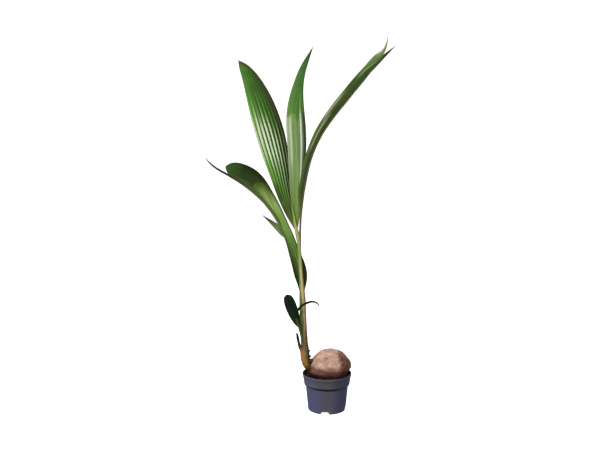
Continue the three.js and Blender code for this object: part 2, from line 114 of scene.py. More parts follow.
# Blades: midrib, half widths, the way across, how far each half curls, in radians, and the number
# and depth of its pleats. A table gives values after their share of the length, and a plain
# number holds all along
FRONT_LEFT_LOBE = {
    "path": [(-119, 0, 706), (-136, 1, 760), (-164, 10, 860), (-193, 26, 980), (-225, 48, 1100),
             (-264, 76, 1221), (-302, 95, 1303), (-346, 110, 1365)],
    "left": [(0, 3), (0.05, 11), (0.1, 20), (0.18, 30), (0.3, 40), (0.46, 53), (0.58, 57),
             (0.7, 54), (0.81, 44), (0.9, 30), (0.96, 16), (1, 0.5)],
    "right": [(0, 3), (0.05, 11), (0.1, 20), (0.18, 31), (0.3, 43), (0.46, 57), (0.58, 61),
              (0.7, 56), (0.81, 45), (0.9, 32), (0.96, 19), (1, 0.5)],
    "side": [(0.96, 0.2, 0), (0.96, 0.26, 0)],
    "curl": [(0, 0.5), (1, 0.35)],
    "pleats": 8,
    "pleat_depth": [(0, 1.2), (0.15, 2.2), (0.3, 3), (0.52, 2.8), (0.66, 1.4), (0.8, 0.6),
                    (1, 0.3)],
}
FRONT_RIGHT_LOBE = {
    "path": [(-118, 1, 722), (-119, 4, 780), (-119, 13, 850), (-116, 26, 939), (-116, 37, 1030),
             (-119, 58, 1130), (-115, 85, 1223), (-97, 110, 1315), (-54, 145, 1421)],
    "left": [(0, 5), (0.05, 14), (0.1, 19), (0.2, 27), (0.33, 35), (0.46, 40), (0.58, 41),
             (0.7, 32), (0.78, 23), (0.86, 16), (0.93, 9), (0.97, 4), (1, 0.5)],
    "right": [(0, 5), (0.05, 14), (0.1, 19), (0.2, 27), (0.33, 36), (0.46, 43), (0.55, 42),
              (0.62, 36), (0.7, 27), (0.78, 18), (0.86, 12), (0.93, 6.5), (0.97, 3), (1, 0.5)],
    "side": [(0.9, 0.4, 0), (0.93, 0.36, 0.1)],
    "curl": [(0, 0.5), (1, 0.3)],
    "pleats": 5,
    "pleat_depth": [(0, 0.6), (0.3, 1.4), (0.55, 1.2), (0.66, 0.5), (1, 0.3)],
}
RIGHT_NEAR_LOBE = {
    "path": [(-101, -13, 775), *RIGHT_MIDRIB, (170, -126, 1325), (208, -136, 1366),
             (237, -150, 1396)],
    "left": [(0, 2), (0.05, 13), (0.12, 23), (0.2, 26), (0.35, 30), (0.5, 35), (0.65, 38),
             (0.78, 34), (0.88, 20), (0.95, 8), (1, 0.6)],
    "right": [(0, 1.5), (0.94, 1.5), (1, 0.4)],
    "side": [(0.85, 0.5, -0.1), (0.55, 0.45, -0.7), (0.6, 0.5, -0.6)],
    "curl": 0,
    "pleats": 3,
    "pleat_depth": 0.5,
}
RIGHT_FAR_LOBE = {
    "path": [(-101, -11, 775), *((x, y + RIGHT_FOLD, z) for x, y, z in RIGHT_MIDRIB),
             (178, -131, 1348), (197, -138, 1375), (205, -144, 1401), (206, -150, 1428)],
    "left": [(0, 2), (0.1, 16), (0.2, 22), (0.35, 31), (0.5, 38), (0.65, 40), (0.78, 37),
             (0.88, 25), (0.95, 8), (1, 0.6)],
    "right": [(0, 1.5), (0.94, 1.5), (1, 0.4)],
    "side": [(0.85, -0.5, -0.1), (0.55, -0.45, -0.7), (0.75, -0.5, -0.5)],
    "curl": 0,
    "pleats": 3,
    "pleat_depth": 0.5,
}
LEFT_BLADE = {
    "path": [(-98, 13, 455), (-101, 18, 520), (-113, 21, 575), (-131, 23, 630), (-153, 27, 690),
             (-179, 39, 745), (-216, 66, 809), (-262, 100, 872), (-306, 122, 914),
             (-355, 143, 938), (-405, 162, 948)],
    "left": [(0, 6), (0.06, 18), (0.12, 28), (0.18, 29), (0.24, 27), (0.32, 22), (0.4, 20),
             (0.47, 20), (0.56, 24), (0.66, 32), (0.77, 42), (0.86, 45), (0.93, 40),
             (0.96, 33), (0.985, 21), (1, 4)],
    "right": [(0, 6), (0.06, 18), (0.12, 27), (0.18, 28), (0.24, 24), (0.3, 22), (0.36, 21),
              (0.45, 20), (0.56, 24), (0.66, 28), (0.77, 36), (0.86, 36), (0.93, 32),
              (0.96, 28), (0.985, 19), (1, 4)],
    "side": [(1, 0.05, 0.1), (0.95, 0.2, 0.3), (0.55, 0.3, 0.8), (0.3, 0.3, 0.95)],
    "curl": [(0, -0.7), (0.4, -0.6), (0.7, 0.4), (1, 0.7)],
    "pleats": 3,
    "pleat_depth": [(0, 0.8), (0.5, 0.6), (1, 0.4)],
}
LEFT_TAIL = {
    "path": [(-175, 28, 717), (-205, 36, 767), (-255.5, 57, 825), (-329, 80, 883),
             (-379, 88, 914), (-438, 99, 947), (-466, 105, 970), (-480, 111, 989)],
    "left": [(0, 0.6), (0.05, 4), (0.15, 6), (0.5, 6), (0.8, 5), (0.92, 3.5), (1, 0.6)],
    "side": [(0.65, 0.6, 0.4), (0.45, 0.6, 0.65)],
    "curl": 0.3,
    "pleats": 2,
    "pleat_depth": 0.6,
}
LEFT_POINT = {
    "path": [(-152, 40, 686), (-173, 33, 702), (-197, 21, 724), (-224, 11, 748), (-252, 5, 770)],
    "left": [(0, 17), (0.2, 17), (0.4, 13), (0.65, 8), (0.85, 3.5), (1, 0.5)],
    "side": [(0.5, 0.5, 0.65), (0.6, 0.2, 0.7)],
    "curl": [(0, 0), (1, 0.3)],
    "pleats": 4,
    "pleat_depth": 0.8,
}
SMALL_LOBE = {
    "path": [(-107, -12, 328), (-120, -14, 360), (-134, -18, 398), (-148, -23, 438),
             (-158, -28, 465)],
    "left": [(0, 1), (0.05, 6), (0.15, 13), (0.35, 20), (0.6, 23), (0.8, 21.5), (0.91, 16.5),
             (0.97, 10), (1, 1)],
    "side": [(0.95, 0.1, 0.3)],
    "curl": [(0, 0.6), (1, 0.4)],
    "pleats": 5,
    "pleat_depth": 0.8,
}
SMALL_CURL = {
    "path": [(-123, -18, 368), (-120, -25, 390), (-110, -33, 411), (-88, -42, 431),
             (-61, -50, 442), (-48, -54, 441), (-37, -57, 434), (-31, -59, 421)],
    "left": [(0, 1.2), (0.06, 3.5), (0.2, 4.8), (0.65, 5), (0.85, 4), (0.95, 2.2), (1, 0.5)],
    "side": [(0.95, 0.2, -0.2), (0.8, 0.2, -0.6), (0.5, 0.2, -0.8), (0.1, 0.3, -0.95),
             (-0.75, 0.3, -0.6)],
    "curl": [(0, 0.4), (1, 0.3)],
    "pleats": 2,
    "pleat_depth": 0.4,
}

# Pot and what is in it. The drains' turn and the nut's yaw and tilt are in degrees, and its
# ridge_turn is in radians
POT = {
    "height": 147, "rim_radius": 96.5, "collar_height": 45, "collar_foot_radius": 89.5,
    "body_top_radius": 83.5, "body_foot_radius": 74.5, "foot_round": 4, "wall": 2.4,
    "pad_radius": 38, "foot_ring_width": 6, "underside_rise": 12, "underside_slope": 4,
}
POT_SIDES = 220
DRAIN = {"count": 4, "width": 33, "height": 11, "turn": -7.5}
SOIL = {"level": 138, "mound": 3, "radius": 91.5, "roughness": 1.6}
NUT = {
    "centre": (15, 12, 172), "half_length": 81, "half_height": 70, "half_depth": 67,
    "ridges": 3, "ridge": 0.035, "ridge_turn": 0.5, "point": 0.25, "blunt": 0.1, "lip": 0.2,
    "lip_height": 0.5, "yaw": 5, "tilt": 2, "half_at_soil": (70, 57),
}
NUT_SIZE = np.array([NUT["half_length"], NUT["half_depth"], NUT["half_height"]])
# The height of each kind of relief on the husk, and the size of its lumps. warp is how far they
# wander
HUSK_RELIEF = {"lump": 1.0, "crease": 0.7, "dent": 2.4, "fine": 0.12, "sunk": 0.3, "warp": 9}
HUSK_GRAIN = {"lump": 24, "crease": 10, "dent": 40, "fine": 4, "warp": 30}
SCAR = {
    "radius": 14, "length": 9, "lobes": 6, "bulge": 0.192, "sunk": 8, "hollow": 3.2,
    "hollow_share": 0.45, "roughness": 0.9,
}
# Torn flaps of husk: foot, tip and radius
HUSK_FLAPS = [((-78, -8, 229), (-65, -12, 243), 5.5), ((-75, -8, 211), (-60, -13, 221), 6.5),
              ((-72, -10, 194), (-57, -14, 199), 7), ((-72, -6, 199), (-56, -9, 204), 7)]
STRANDS_PER_FLAP = 70
FLAP_LUMP = 1.3

# What lies on the soil: piece, count, least and greatest size, stretch, and material with its dark
# and light colour
CRUMBS = [
    ("soil_crumbs", 1500, (1.2, 5.5), (1, 1, 0.8), "crumb", (7, 4, 3), (32, 20, 14)),
    ("bark_chips", 110, (4, 8), (1.6, 0.7, 0.35), "bark", (28, 18, 13), (78, 54, 38)),
    ("pale_grains", 60, (0.9, 2.4), (1, 1, 1), "perlite", (140, 130, 118), (206, 198, 188)),
]

# Creases crowd together past this share of a blade's width, at most this many times, and less by
# this share at its tip
CROWD_START = 0.6
MOST_CROWDED = 2.5
TIP_EASE = 0.45

# A blade's mesh: points to a pleat, how wide its margins are, a pleat's share of its depth there,
# the midrib's width, both widths as shares of the half width, and the slow waves along it
PLEAT_POINTS = 14
MARGIN_SHARE = 0.16
MARGIN_FOLD = 0.35
RIB_SHARE = 0.12
WAVES = 12
# The least thickness, and the half width under which a blade gets thinner
THINNEST = 0.3
THIN_UNDER = 4

# How much of a leaf's length a stripe takes to fade in or out
STRIPE_FADE = 0.08

# Colours. They are as on a screen, of 0 to 255. A list gives them from foot to tip, each after its
# place there, and "left" lists those near a leaf's left margin. A stripe is its place across, half
# its width, its first and last place along, its colour and its strength. Some stripes are veins,
# and some are painted highlights and painted shade.
FRONT_LEFT_SKIN = {
    "stops": [(0, 120, 136, 50), (0.1, 72, 97, 37), (0.25, 62, 92, 32), (0.42, 72, 116, 46),
              (0.6, 62, 110, 36), (0.8, 56, 98, 32), (0.965, 64, 110, 40), (0.99, 70, 66, 38),
              (1, 64, 44, 32)],
    # Painted highlight: left's greens and pales from 0.33 to 0.57, glare near the left margin
    "left": [(0, 90, 100, 40), (0.1, 48, 70, 24), (0.22, 52, 78, 28), (0.27, 56, 86, 30),
             (0.33, 92, 146, 52), (0.39, 110, 164, 68), (0.46, 160, 184, 132),
             (0.57, 150, 180, 116), (0.66, 88, 144, 54), (0.8, 66, 120, 40), (1, 70, 104, 44)],
    # Painted shade in the valleys and towards the right margin, and painted highlight streaks
    "valley_shade": 0.4, "shade": 0.85, "highlight_streaks": 0.85, "rough": 0.5, "shine": 0.12,
}
FRONT_RIGHT_SKIN = {
    # Painted highlight: the pale colours from 0.3 to 0.585, here and in left, glare on the lower
    # part
    "stops": [(0, 140, 156, 66), (0.12, 113, 151, 64), (0.3, 128, 159, 92), (0.5, 128, 156, 98),
              (0.58, 122, 154, 86), (0.605, 78, 126, 52), (0.88, 64, 106, 46),
              (0.95, 56, 70, 42), (1, 52, 42, 34)],
    "left": [(0, 130, 136, 70), (0.15, 112, 122, 72), (0.3, 140, 152, 112), (0.5, 156, 174, 134),
             (0.585, 155, 173, 129), (0.605, 86, 132, 58), (0.9, 66, 106, 48), (1, 56, 60, 38)],
    "valley_shade": 0.15,
    # Painted shade: the first stripe, a dark band where the blade turns away from the light
    "veins_and_painted_light": [(0.9, 0.5, 0.16, 0.66, (46, 62, 34), 0.9),
              # Painted highlights: the next two stripes, a glint along the fold's ridge
              (0.4, 0.12, 0.55, 0.76, (132, 174, 98), 0.7),
              (0.4, 0.165, 0.2, 0.65, (242, 250, 230), 1),
              (0.27, 0.08, 0.12, 0.66, (60, 94, 38), 0.75),
              (0.05, 0.08, 0, 0.4, (176, 204, 120), 0.65),
              (-0.2, 0.06, 0.1, 0.6, (88, 122, 60), 0.4),
              # Painted highlight: a pale glint near the left margin
              (-0.62, 0.16, 0.3, 0.62, (198, 208, 180), 0.55)],
}
RIGHT_NEAR_SKIN = {
    "stops": [(0, 92, 98, 60), (0.12, 64, 78, 36), (0.4, 62, 76, 34), (0.6, 60, 78, 32),
              (0.75, 62, 92, 38), (0.88, 66, 92, 42), (0.94, 50, 50, 34), (1, 36, 30, 28)],
    "left": [(0, 96, 98, 60), (0.15, 88, 106, 52), (0.35, 104, 126, 66), (0.55, 98, 122, 58),
             (0.7, 76, 104, 46), (0.9, 80, 112, 50), (1, 44, 38, 30)],
    "valley_shade": 0.15,
    "veins_and_painted_light": [(-0.75, 0.13, 0.74, 0.95, (176, 204, 120), 0.85),
              # Painted highlights: the next two pale stripes along the left edge
              (-0.86, 0.13, 0.46, 0.7, (204, 212, 180), 0.7),
              (-0.6, 0.14, 0.3, 0.56, (196, 206, 168), 0.55),
              (0, 0.4, 0.1, 0.86, (44, 56, 24), 0.5)],
}
RIGHT_FAR_SKIN = {
    "stops": [(0, 110, 120, 76), (0.3, 116, 130, 82), (0.6, 100, 126, 66), (0.74, 74, 106, 48),
              (0.93, 78, 108, 52), (0.975, 120, 124, 84), (1, 112, 98, 86)],
    "left": [(0, 110, 120, 76), (0.3, 126, 140, 92), (0.6, 108, 134, 72), (0.74, 78, 112, 50),
             (0.89, 84, 114, 56), (0.94, 188, 184, 160), (1, 150, 138, 126)],
    "valley_shade": 0.2,
}
LEFT_SKIN = {
    # Painted highlight from 0.42 to 0.56, and painted shade from 0.76 to 0.86 by the bend
    "stops": [(0, 58, 80, 30), (0.14, 66, 90, 38), (0.3, 92, 122, 56), (0.42, 118, 150, 76),
              (0.56, 136, 160, 90), (0.64, 112, 136, 62), (0.7, 98, 118, 54), (0.76, 42, 58, 20),
              (0.86, 32, 48, 16), (0.94, 44, 72, 24), (1, 58, 86, 38)],
    "left": [(0, 44, 60, 26), (0.2, 64, 86, 36), (0.45, 92, 120, 56), (0.6, 84, 110, 52),
             (0.7, 66, 84, 44), (0.8, 66, 82, 48), (0.9, 60, 80, 40), (1, 60, 90, 44)],
    "valley_shade": 0.1, "rough": 0.55, "shine": 0.06, "mottle": 0.04,
    # Painted shade: these two dark stripes along the right margin and by the bend
    "veins_and_painted_light": [(1, 0.4, 0.1, 0.72, (38, 54, 22), 0.7),
              (1, 0.9, 0.62, 0.93, (26, 36, 14), 0.7),
              (0.05, 0.1, 0.1, 0.5, (146, 172, 92), 0.5),
              # Painted highlights: these two pale patches
              (0.3, 0.3, 0.5, 0.64, (164, 180, 124), 0.4),
              (-0.1, 0.35, 0.55, 0.74, (164, 176, 122), 0.3)],
}
LEFT_TAIL_SKIN = {
    "stops": [(0, 98, 124, 58), (0.3, 92, 114, 58), (0.5, 74, 92, 50), (0.62, 52, 60, 38),
              (0.72, 36, 36, 26), (1, 32, 28, 26)],
    "shine": 0.1,
}
LEFT_POINT_SKIN = {
    "stops": [(0, 150, 178, 116), (0.35, 132, 152, 104), (0.62, 104, 112, 80),
              (0.82, 66, 64, 48), (1, 48, 42, 36)],
    "shine": 0.15,
}
SMALL_SKIN = {
    "stops": [(0, 44, 60, 24), (0.3, 31, 49, 26), (0.7, 18, 36, 28), (1, 25, 43, 33)],
    "valley_shade": 0.2, "shine": 0.06, "mottle": 0.03,
}
SMALL_CURL_SKIN = {
    "stops": [(0, 24, 30, 14), (0.5, 34, 38, 20), (0.78, 60, 62, 42), (1, 44, 48, 36)],
    "shine": 0.08,
}
STALK_STOPS = {
    "front": [(0, 146, 160, 84), (0.25, 160, 172, 104), (0.6, 148, 164, 92), (1, 110, 138, 62)],
    "right": [(0, 110, 104, 84), (0.12, 96, 92, 70), (0.3, 74, 78, 44), (1, 96, 108, 56)],
    "small": [(0, 112, 90, 50), (0.3, 84, 80, 40), (0.6, 66, 76, 34), (1, 48, 60, 28)],
}
STEM_CORE = [(0, 92, 56, 36), (0.1, 128, 92, 46), (0.17, 132, 104, 56), (0.24, 112, 82, 52),
             (0.32, 134, 104, 70), (0.4, 178, 152, 116), (0.55, 188, 162, 124),
             (0.68, 190, 176, 126), (0.8, 188, 188, 134), (0.92, 144, 158, 84),
             (1, 146, 162, 80)]
STEM_LEFT = [(0, 96, 60, 34), (0.12, 124, 92, 40), (0.2, 92, 84, 36), (0.28, 50, 40, 17),
             (0.36, 66, 68, 33), (0.48, 86, 98, 48), (0.62, 98, 116, 56), (0.8, 128, 146, 78),
             (1, 120, 140, 64)]
STEM_RIGHT = [(0, 84, 44, 32), (0.1, 64, 46, 28), (0.2, 66, 56, 30), (0.3, 104, 62, 42),
              (0.42, 156, 104, 82), (0.55, 174, 138, 100), (0.7, 150, 118, 72),
              (0.84, 128, 124, 66), (1, 104, 120, 56)]
# How far round the stem its left side's green reaches, as a grey
STEM_GREEN_REACH = [(at, grey, grey, grey) for at, grey in
                    [(0, 0), (0.26, 90), (0.4, 190), (0.56, 170), (0.66, 60), (1, 70)]]
SHEATH_STOPS = [(0, 70, 52, 28), (0.17, 96, 74, 38), (0.3, 154, 118, 60), (0.42, 176, 126, 74),
                (0.54, 166, 114, 76), (0.61, 138, 96, 64), (0.67, 70, 56, 34),
                (0.74, 46, 44, 28), (0.86, 38, 38, 26), (1, 28, 28, 20)]

# Each blade: its key, shape, colours and number of rows, and the solids that it stands for
LEAVES = [
    ("front_left", FRONT_LEFT_LOBE, FRONT_LEFT_SKIN, 200, "front_leaf_left_lobe"),
    ("front_right", FRONT_RIGHT_LOBE, FRONT_RIGHT_SKIN, 200, "front_leaf_right_lobe"),
    ("right_near", RIGHT_NEAR_LOBE, RIGHT_NEAR_SKIN, 200, "right_leaf_near_lobe"),
    ("right_far", RIGHT_FAR_LOBE, RIGHT_FAR_SKIN, 200, "right_leaf_far_lobe"),
    ("left", LEFT_BLADE, LEFT_SKIN, 200, "left_leaf_blade"),
    ("left_tail", LEFT_TAIL, LEFT_TAIL_SKIN, 200, "left_leaf_tail"),
    ("left_point", LEFT_POINT, LEFT_POINT_SKIN, 90, "left_leaf_side_point"),
    ("small", SMALL_LOBE, SMALL_SKIN, 120, "small_leaf_lobe"),
    ("small_curl", SMALL_CURL, SMALL_CURL_SKIN, 140, "small_leaf_curl", "small_leaf_curl_tip"),
]

rng = np.random.default_rng(SEED)


# Curves and tables

def hermite(start, end, start_slope, end_slope, s):
    """A cubic from start to end with the given slopes, at shares s."""
    return ((2 * s ** 3 - 3 * s ** 2 + 1) * start + (s ** 3 - 2 * s ** 2 + s) * start_slope
            + (3 * s ** 2 - 2 * s ** 3) * end + (s ** 3 - s ** 2) * end_slope)


def along(table, t):
    """The value at each t of a table of (t, value) pairs, with an even slope from pair to pair.

    A plain number holds for each t.
    """
    if np.isscalar(table):
        return np.full(np.shape(t), float(table))
    knots, values = np.array(table, float).T
    steps = np.diff(values) / np.diff(knots)
    slopes = np.concatenate([steps[:1], (steps[1:] + steps[:-1]) / 2, steps[-1:]])
    t = np.asarray(t, float)
    i = np.clip(np.searchsorted(knots, t, side="right") - 1, 0, len(knots) - 2)
    span = knots[i + 1] - knots[i]
    s = np.clip((t - knots[i]) / span, 0, 1)
    return hermite(values[i], values[i + 1], span * slopes[i], span * slopes[i + 1], s)


def turned(directions, t):
    """The direction at each t of a list of directions that are spread evenly from foot to tip."""
    directions = np.array(directions, float)
    places = np.linspace(0, 1, len(directions))
    return np.stack([np.interp(t, places, column) for column in directions.T], axis=-1)


def unit(vectors):
    """The vectors at a length of 1."""
    return vectors / np.maximum(np.linalg.norm(vectors, axis=-1, keepdims=True), 1e-12)


def spline(path, shares, steps=48):
    """Points and unit tangents at shares of the length of a centripetal Catmull-Rom curve."""
    p = np.array(path, float)
    p = np.vstack([2 * p[0] - p[1], p, 2 * p[-1] - p[-2]])
    s = np.linspace(0, 1, steps, endpoint=False)[:, None]
    pieces = []
    for a, b, c, d in zip(p, p[1:], p[2:], p[3:]):
        before, span, after = (math.sqrt(np.linalg.norm(v)) for v in (b - a, c - b, d - c))
        start = (b - a) / before - (c - a) / (before + span) + (c - b) / span
        end = (c - b) / span - (d - b) / (span + after) + (d - c) / after
        pieces.append(hermite(b, c, span * start, span * end, s))
    points = np.vstack([*pieces, p[-2:-1]])
    lengths = np.concatenate([[0], np.cumsum(np.linalg.norm(np.diff(points, axis=0), axis=1))])
    tangents = np.gradient(points, lengths, axis=0)
    at = np.asarray(shares) * lengths[-1]
    pick = [np.stack([np.interp(at, lengths, column) for column in data.T], axis=-1)
            for data in (points, tangents)]
    return pick[0], unit(pick[1]), lengths[-1]


def smooth(low, high, value):
    """0 up to low and 1 from high, with a smooth rise between them."""
    s = np.clip((value - low) / (high - low), 0, 1)
    return s * s * (3 - 2 * s)


def zigzag(phase, sharpness=0.8):
    """A folded wave from -1 to 1 that repeats with each whole phase, its creases slightly round."""
    return np.arcsin(sharpness * np.sin(2 * np.pi * phase)) / math.asin(sharpness)


def grain(points, scale, octaves=3):
    """Smooth noise, about -1 to 1, at each point. scale is the size of its lumps."""
    return np.array([noise.fractal(Vector(p), 1.0, 2.0, octaves)
                     for p in np.asarray(points).reshape(-1, 3) / scale])


# Meshes

def add_object(name, data):
    """An object of the scene."""
    made = bpy.data.objects.new(name, data)
    bpy.context.scene.collection.objects.link(made)
    return made


def make_mesh(name, points, faces, attributes=None, sharp=50):
    """An object from points in millimetres and faces, smooth but for edges over sharp degrees."""
    mesh = bpy.data.meshes.new(name)
    mesh.from_pydata((np.asarray(points) * MM).tolist(), [], faces)
    for key, values in (attributes or {}).items():
        stored = mesh.attributes.new(key, "FLOAT_VECTOR", "POINT")
        stored.data.foreach_set("vector", np.ascontiguousarray(values, np.float32).ravel())
    mesh.update()
    mesh.shade_smooth()
    mesh.set_sharp_from_angle(angle=math.radians(sharp))
    return add_object(name, mesh)


def grid_faces(rows, columns, wrap):
    """Quads between rows of columns points each. wrap joins the last column to the first."""
    faces = []
    for i in range(rows - 1):
        for j in range(columns if wrap else columns - 1):
            a = i * columns + j
            b = i * columns + (j + 1) % columns
            faces.append((a, b, b + columns, a + columns))
    return faces


def tube_faces(rows, columns):
    """Quads between rings of points, and a flat end on the first and the last ring."""
    last = (rows - 1) * columns
    ends = [tuple(range(columns))[::-1], tuple(last + j for j in range(columns))]
    return grid_faces(rows, columns, True) + ends


def pointed_faces(rows, columns):
    """Quads between rings of points, and a fan to a point of its own beyond each end."""
    first, last, top = rows * columns, rows * columns + 1, (rows - 1) * columns
    pairs = [(j, (j + 1) % columns) for j in range(columns)]
    fans = [(first, b, a) for a, b in pairs] + [(last, top + a, top + b) for a, b in pairs]
    return grid_faces(rows, columns, True) + fans


def outwards(side, tangent, count):
    """Unit directions all round a line, first to its side, for each of its points."""
    angle = 2 * np.pi * np.arange(count)[:, None] / count
    return side[:, None] * np.cos(angle) + np.cross(tangent, side)[:, None] * np.sin(angle)


def rings(profile, sides):
    """Points of a turned body from a profile of (radius, height), ring by ring."""
    profile = np.array(profile, float)
    angle = 2 * np.pi * np.arange(sides) / sides
    return np.stack([profile[:, :1] * np.cos(angle), profile[:, :1] * np.sin(angle),
                     np.repeat(profile[:, 1:], sides, axis=1)], axis=2).reshape(-1, 3)


def place(piece, material, slot, *nodes):
    """Finishes a piece: its material, its body and the solids it stands for. slot is not used."""
    piece.data.materials.append(material)
    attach(piece, "root")
    if nodes:
        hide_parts(*nodes)


def sheet_mesh(name, middle, normal, half_thick, attributes):
    """A thin closed body round a grid of middle points, half_thick to each side of it."""
    rows, columns = middle.shape[:2]
    front = middle + normal * half_thick[..., None]
    back = middle - normal * half_thick[..., None]
    points = np.concatenate([front.reshape(-1, 3), back.reshape(-1, 3)])
    count = rows * columns
    faces = grid_faces(rows, columns, False)
    faces += [tuple(count + k for k in reversed(face)) for face in faces]
    rim = [*range(columns), *(columns * i + columns - 1 for i in range(1, rows)),
           *(count - 1 - j for j in range(1, columns)),
           *(columns * i for i in range(rows - 2, 0, -1))]
    faces += [(b, a, a + count, b + count) for a, b in zip(rim, rim[1:] + rim[:1])]
    doubled = {key: np.concatenate([v.reshape(-1, 3)] * 2) for key, v in attributes.items()}
    return make_mesh(name, points, faces, doubled, sharp=85)


def columns_across(full, count):
    """Each column's share of the width, row by row, and how far apart its creases are there.

    Columns follow the creases. Past the widest row the creases keep their distance from the left
    edge, and crowd together before the right margin.
    """
    rows = np.arange(len(full))
    fade = smooth(np.argmax(full), len(full) - 1, rows)
    crowd = np.clip(full.max() / full * (1 - TIP_EASE * fade), 1, MOST_CROWDED)
    crowd = np.where(rows > np.argmax(full), crowd, 1)[:, None]
    natural = np.linspace(0, 1, count)[None, :] * crowd
    past = np.maximum(0, natural - CROWD_START) / (1 - CROWD_START)
    room = (crowd - CROWD_START) / (1 - CROWD_START)
    squeeze = 1 + (1 - 1 / room) * past
    share = np.where(natural < CROWD_START, natural,
                     1 - (1 - CROWD_START) * (1 - past / room) / squeeze)
    return share, crowd * full[:, None] / full.max() / squeeze ** 2


def curled(half, u, curl):
    """How far aside and up a point u of the way across goes when the flat half curls."""
    curl = np.where(np.abs(curl) < 1e-6, 1e-6, curl)
    return half * np.sin(curl * u) / curl, -half * (1 - np.cos(curl * u)) / curl


def folds(shape, t, u, phase, spacing, waviness):
    """The height of the pleats, and of slow waves that rise towards the margins."""
    inner = MARGIN_FOLD + (1 - MARGIN_FOLD) * smooth(0, MARGIN_SHARE, 1 - np.abs(u))
    depth = along(shape["pleat_depth"], t)[:, None]
    fold = 0.5 * depth * np.minimum(1, spacing) * zigzag(phase)
    own = shape["path"][0][2] / 10
    wave = np.array([noise.noise(Vector((WAVES * v, own, 0.5))) for v in t])
    ends = (smooth(0, 0.05, t) * (1 - smooth(0.93, 1, t)))[:, None]
    return (fold * inner + waviness * wave[:, None] * u) * ends


def blade(name, shape, rows, thickness=(1.0, 0.5), waviness=0.8):
    """A pleated leaf blade. Its pleats run beside the left edge and end on the right margin.

    It stores the metres across and along and the pleat's phase as flow, and the place across, from
    -1 at the left margin to 1, and the share of the length as place.
    """
    t = np.linspace(0, 1, rows)
    centre, tangent, length = spline(shape["path"], t)
    across = turned(shape["side"], t)
    across = unit(across - tangent * np.sum(across * tangent, axis=1, keepdims=True))
    normal = np.cross(across, tangent)
    left = along(shape["left"], t)
    full = left + along(shape.get("right", shape["left"]), t)
    share, spacing = columns_across(full, shape["pleats"] * PLEAT_POINTS + 1)
    from_midrib = share * full[:, None] - left[:, None]
    half = np.where(from_midrib < 0, left[:, None], full[:, None] - left[:, None])
    u = from_midrib / half
    phase = np.linspace(0, shape["pleats"], share.shape[1])[None, :] * np.ones_like(share)
    aside, height = curled(half, u, along(shape["curl"], t)[:, None])
    height = height + folds(shape, t, u, phase, spacing, waviness)

    middle = (centre[:, None] + across[:, None] * aside[..., None]
              + normal[:, None] * height[..., None])
    facing = unit(np.cross(np.gradient(middle, axis=1), np.gradient(middle, axis=0)))
    facing *= np.sign(np.sum(facing * normal[:, None], axis=2, keepdims=True))
    rib = np.exp(-(u / RIB_SHARE) ** 2)
    thick = thickness[1] + (thickness[0] - thickness[1]) * rib
    thick = thick * np.minimum(1, half / THIN_UNDER)
    whole = np.ones_like(u)
    run = (t * length * MM)[:, None] * whole
    attributes = {
        "flow": np.stack([phase * full.max() / shape["pleats"] * MM, run, phase], axis=2),
        "place": np.stack([u, t[:, None] * whole, whole], axis=2),
    }
    return sheet_mesh(name, middle, facing, np.maximum(thick, THINNEST) / 2, attributes)


def limb(name, shape, rows, sides, relief):
    """A tapering round limb. relief(angle, t, points) adds to its radius, in millimetres.

    It stores the share of a turn and the metres along as flow, and how far it faces to the right
    and the share of the length as place.
    """
    t = np.linspace(0, 1, rows)
    centre, tangent, length = spline(shape["path"], t)
    side = unit(np.array([0.0, 1.0, 0.0]) - tangent * tangent[:, 1:2])
    outward = outwards(side, tangent, sides)
    angle = 2 * np.pi * np.arange(sides)[None, :] / sides
    radius = along(shape["radius"], t)[:, None] * np.ones_like(angle)
    radius = radius + relief(angle, t[:, None], centre[:, None] + outward * radius[..., None])
    points = centre[:, None] + outward * radius[..., None]
    points = np.concatenate([points.reshape(-1, 3), centre[:1], centre[-1:]])
    whole = np.ones((rows, sides))
    run = (t * length * MM)[:, None] * whole
    flow = np.stack([angle / (2 * np.pi) * whole, run, whole], axis=2)
    spot = np.stack([-np.sin(angle) * whole, t[:, None] * whole, whole], axis=2)
    attributes = {key: np.concatenate([v.reshape(-1, 3), v.reshape(-1, 3)[[0, -1]]])
                  for key, v in (("flow", flow), ("place", spot))}
    return make_mesh(name, points, pointed_faces(rows, sides), attributes)


# Materials

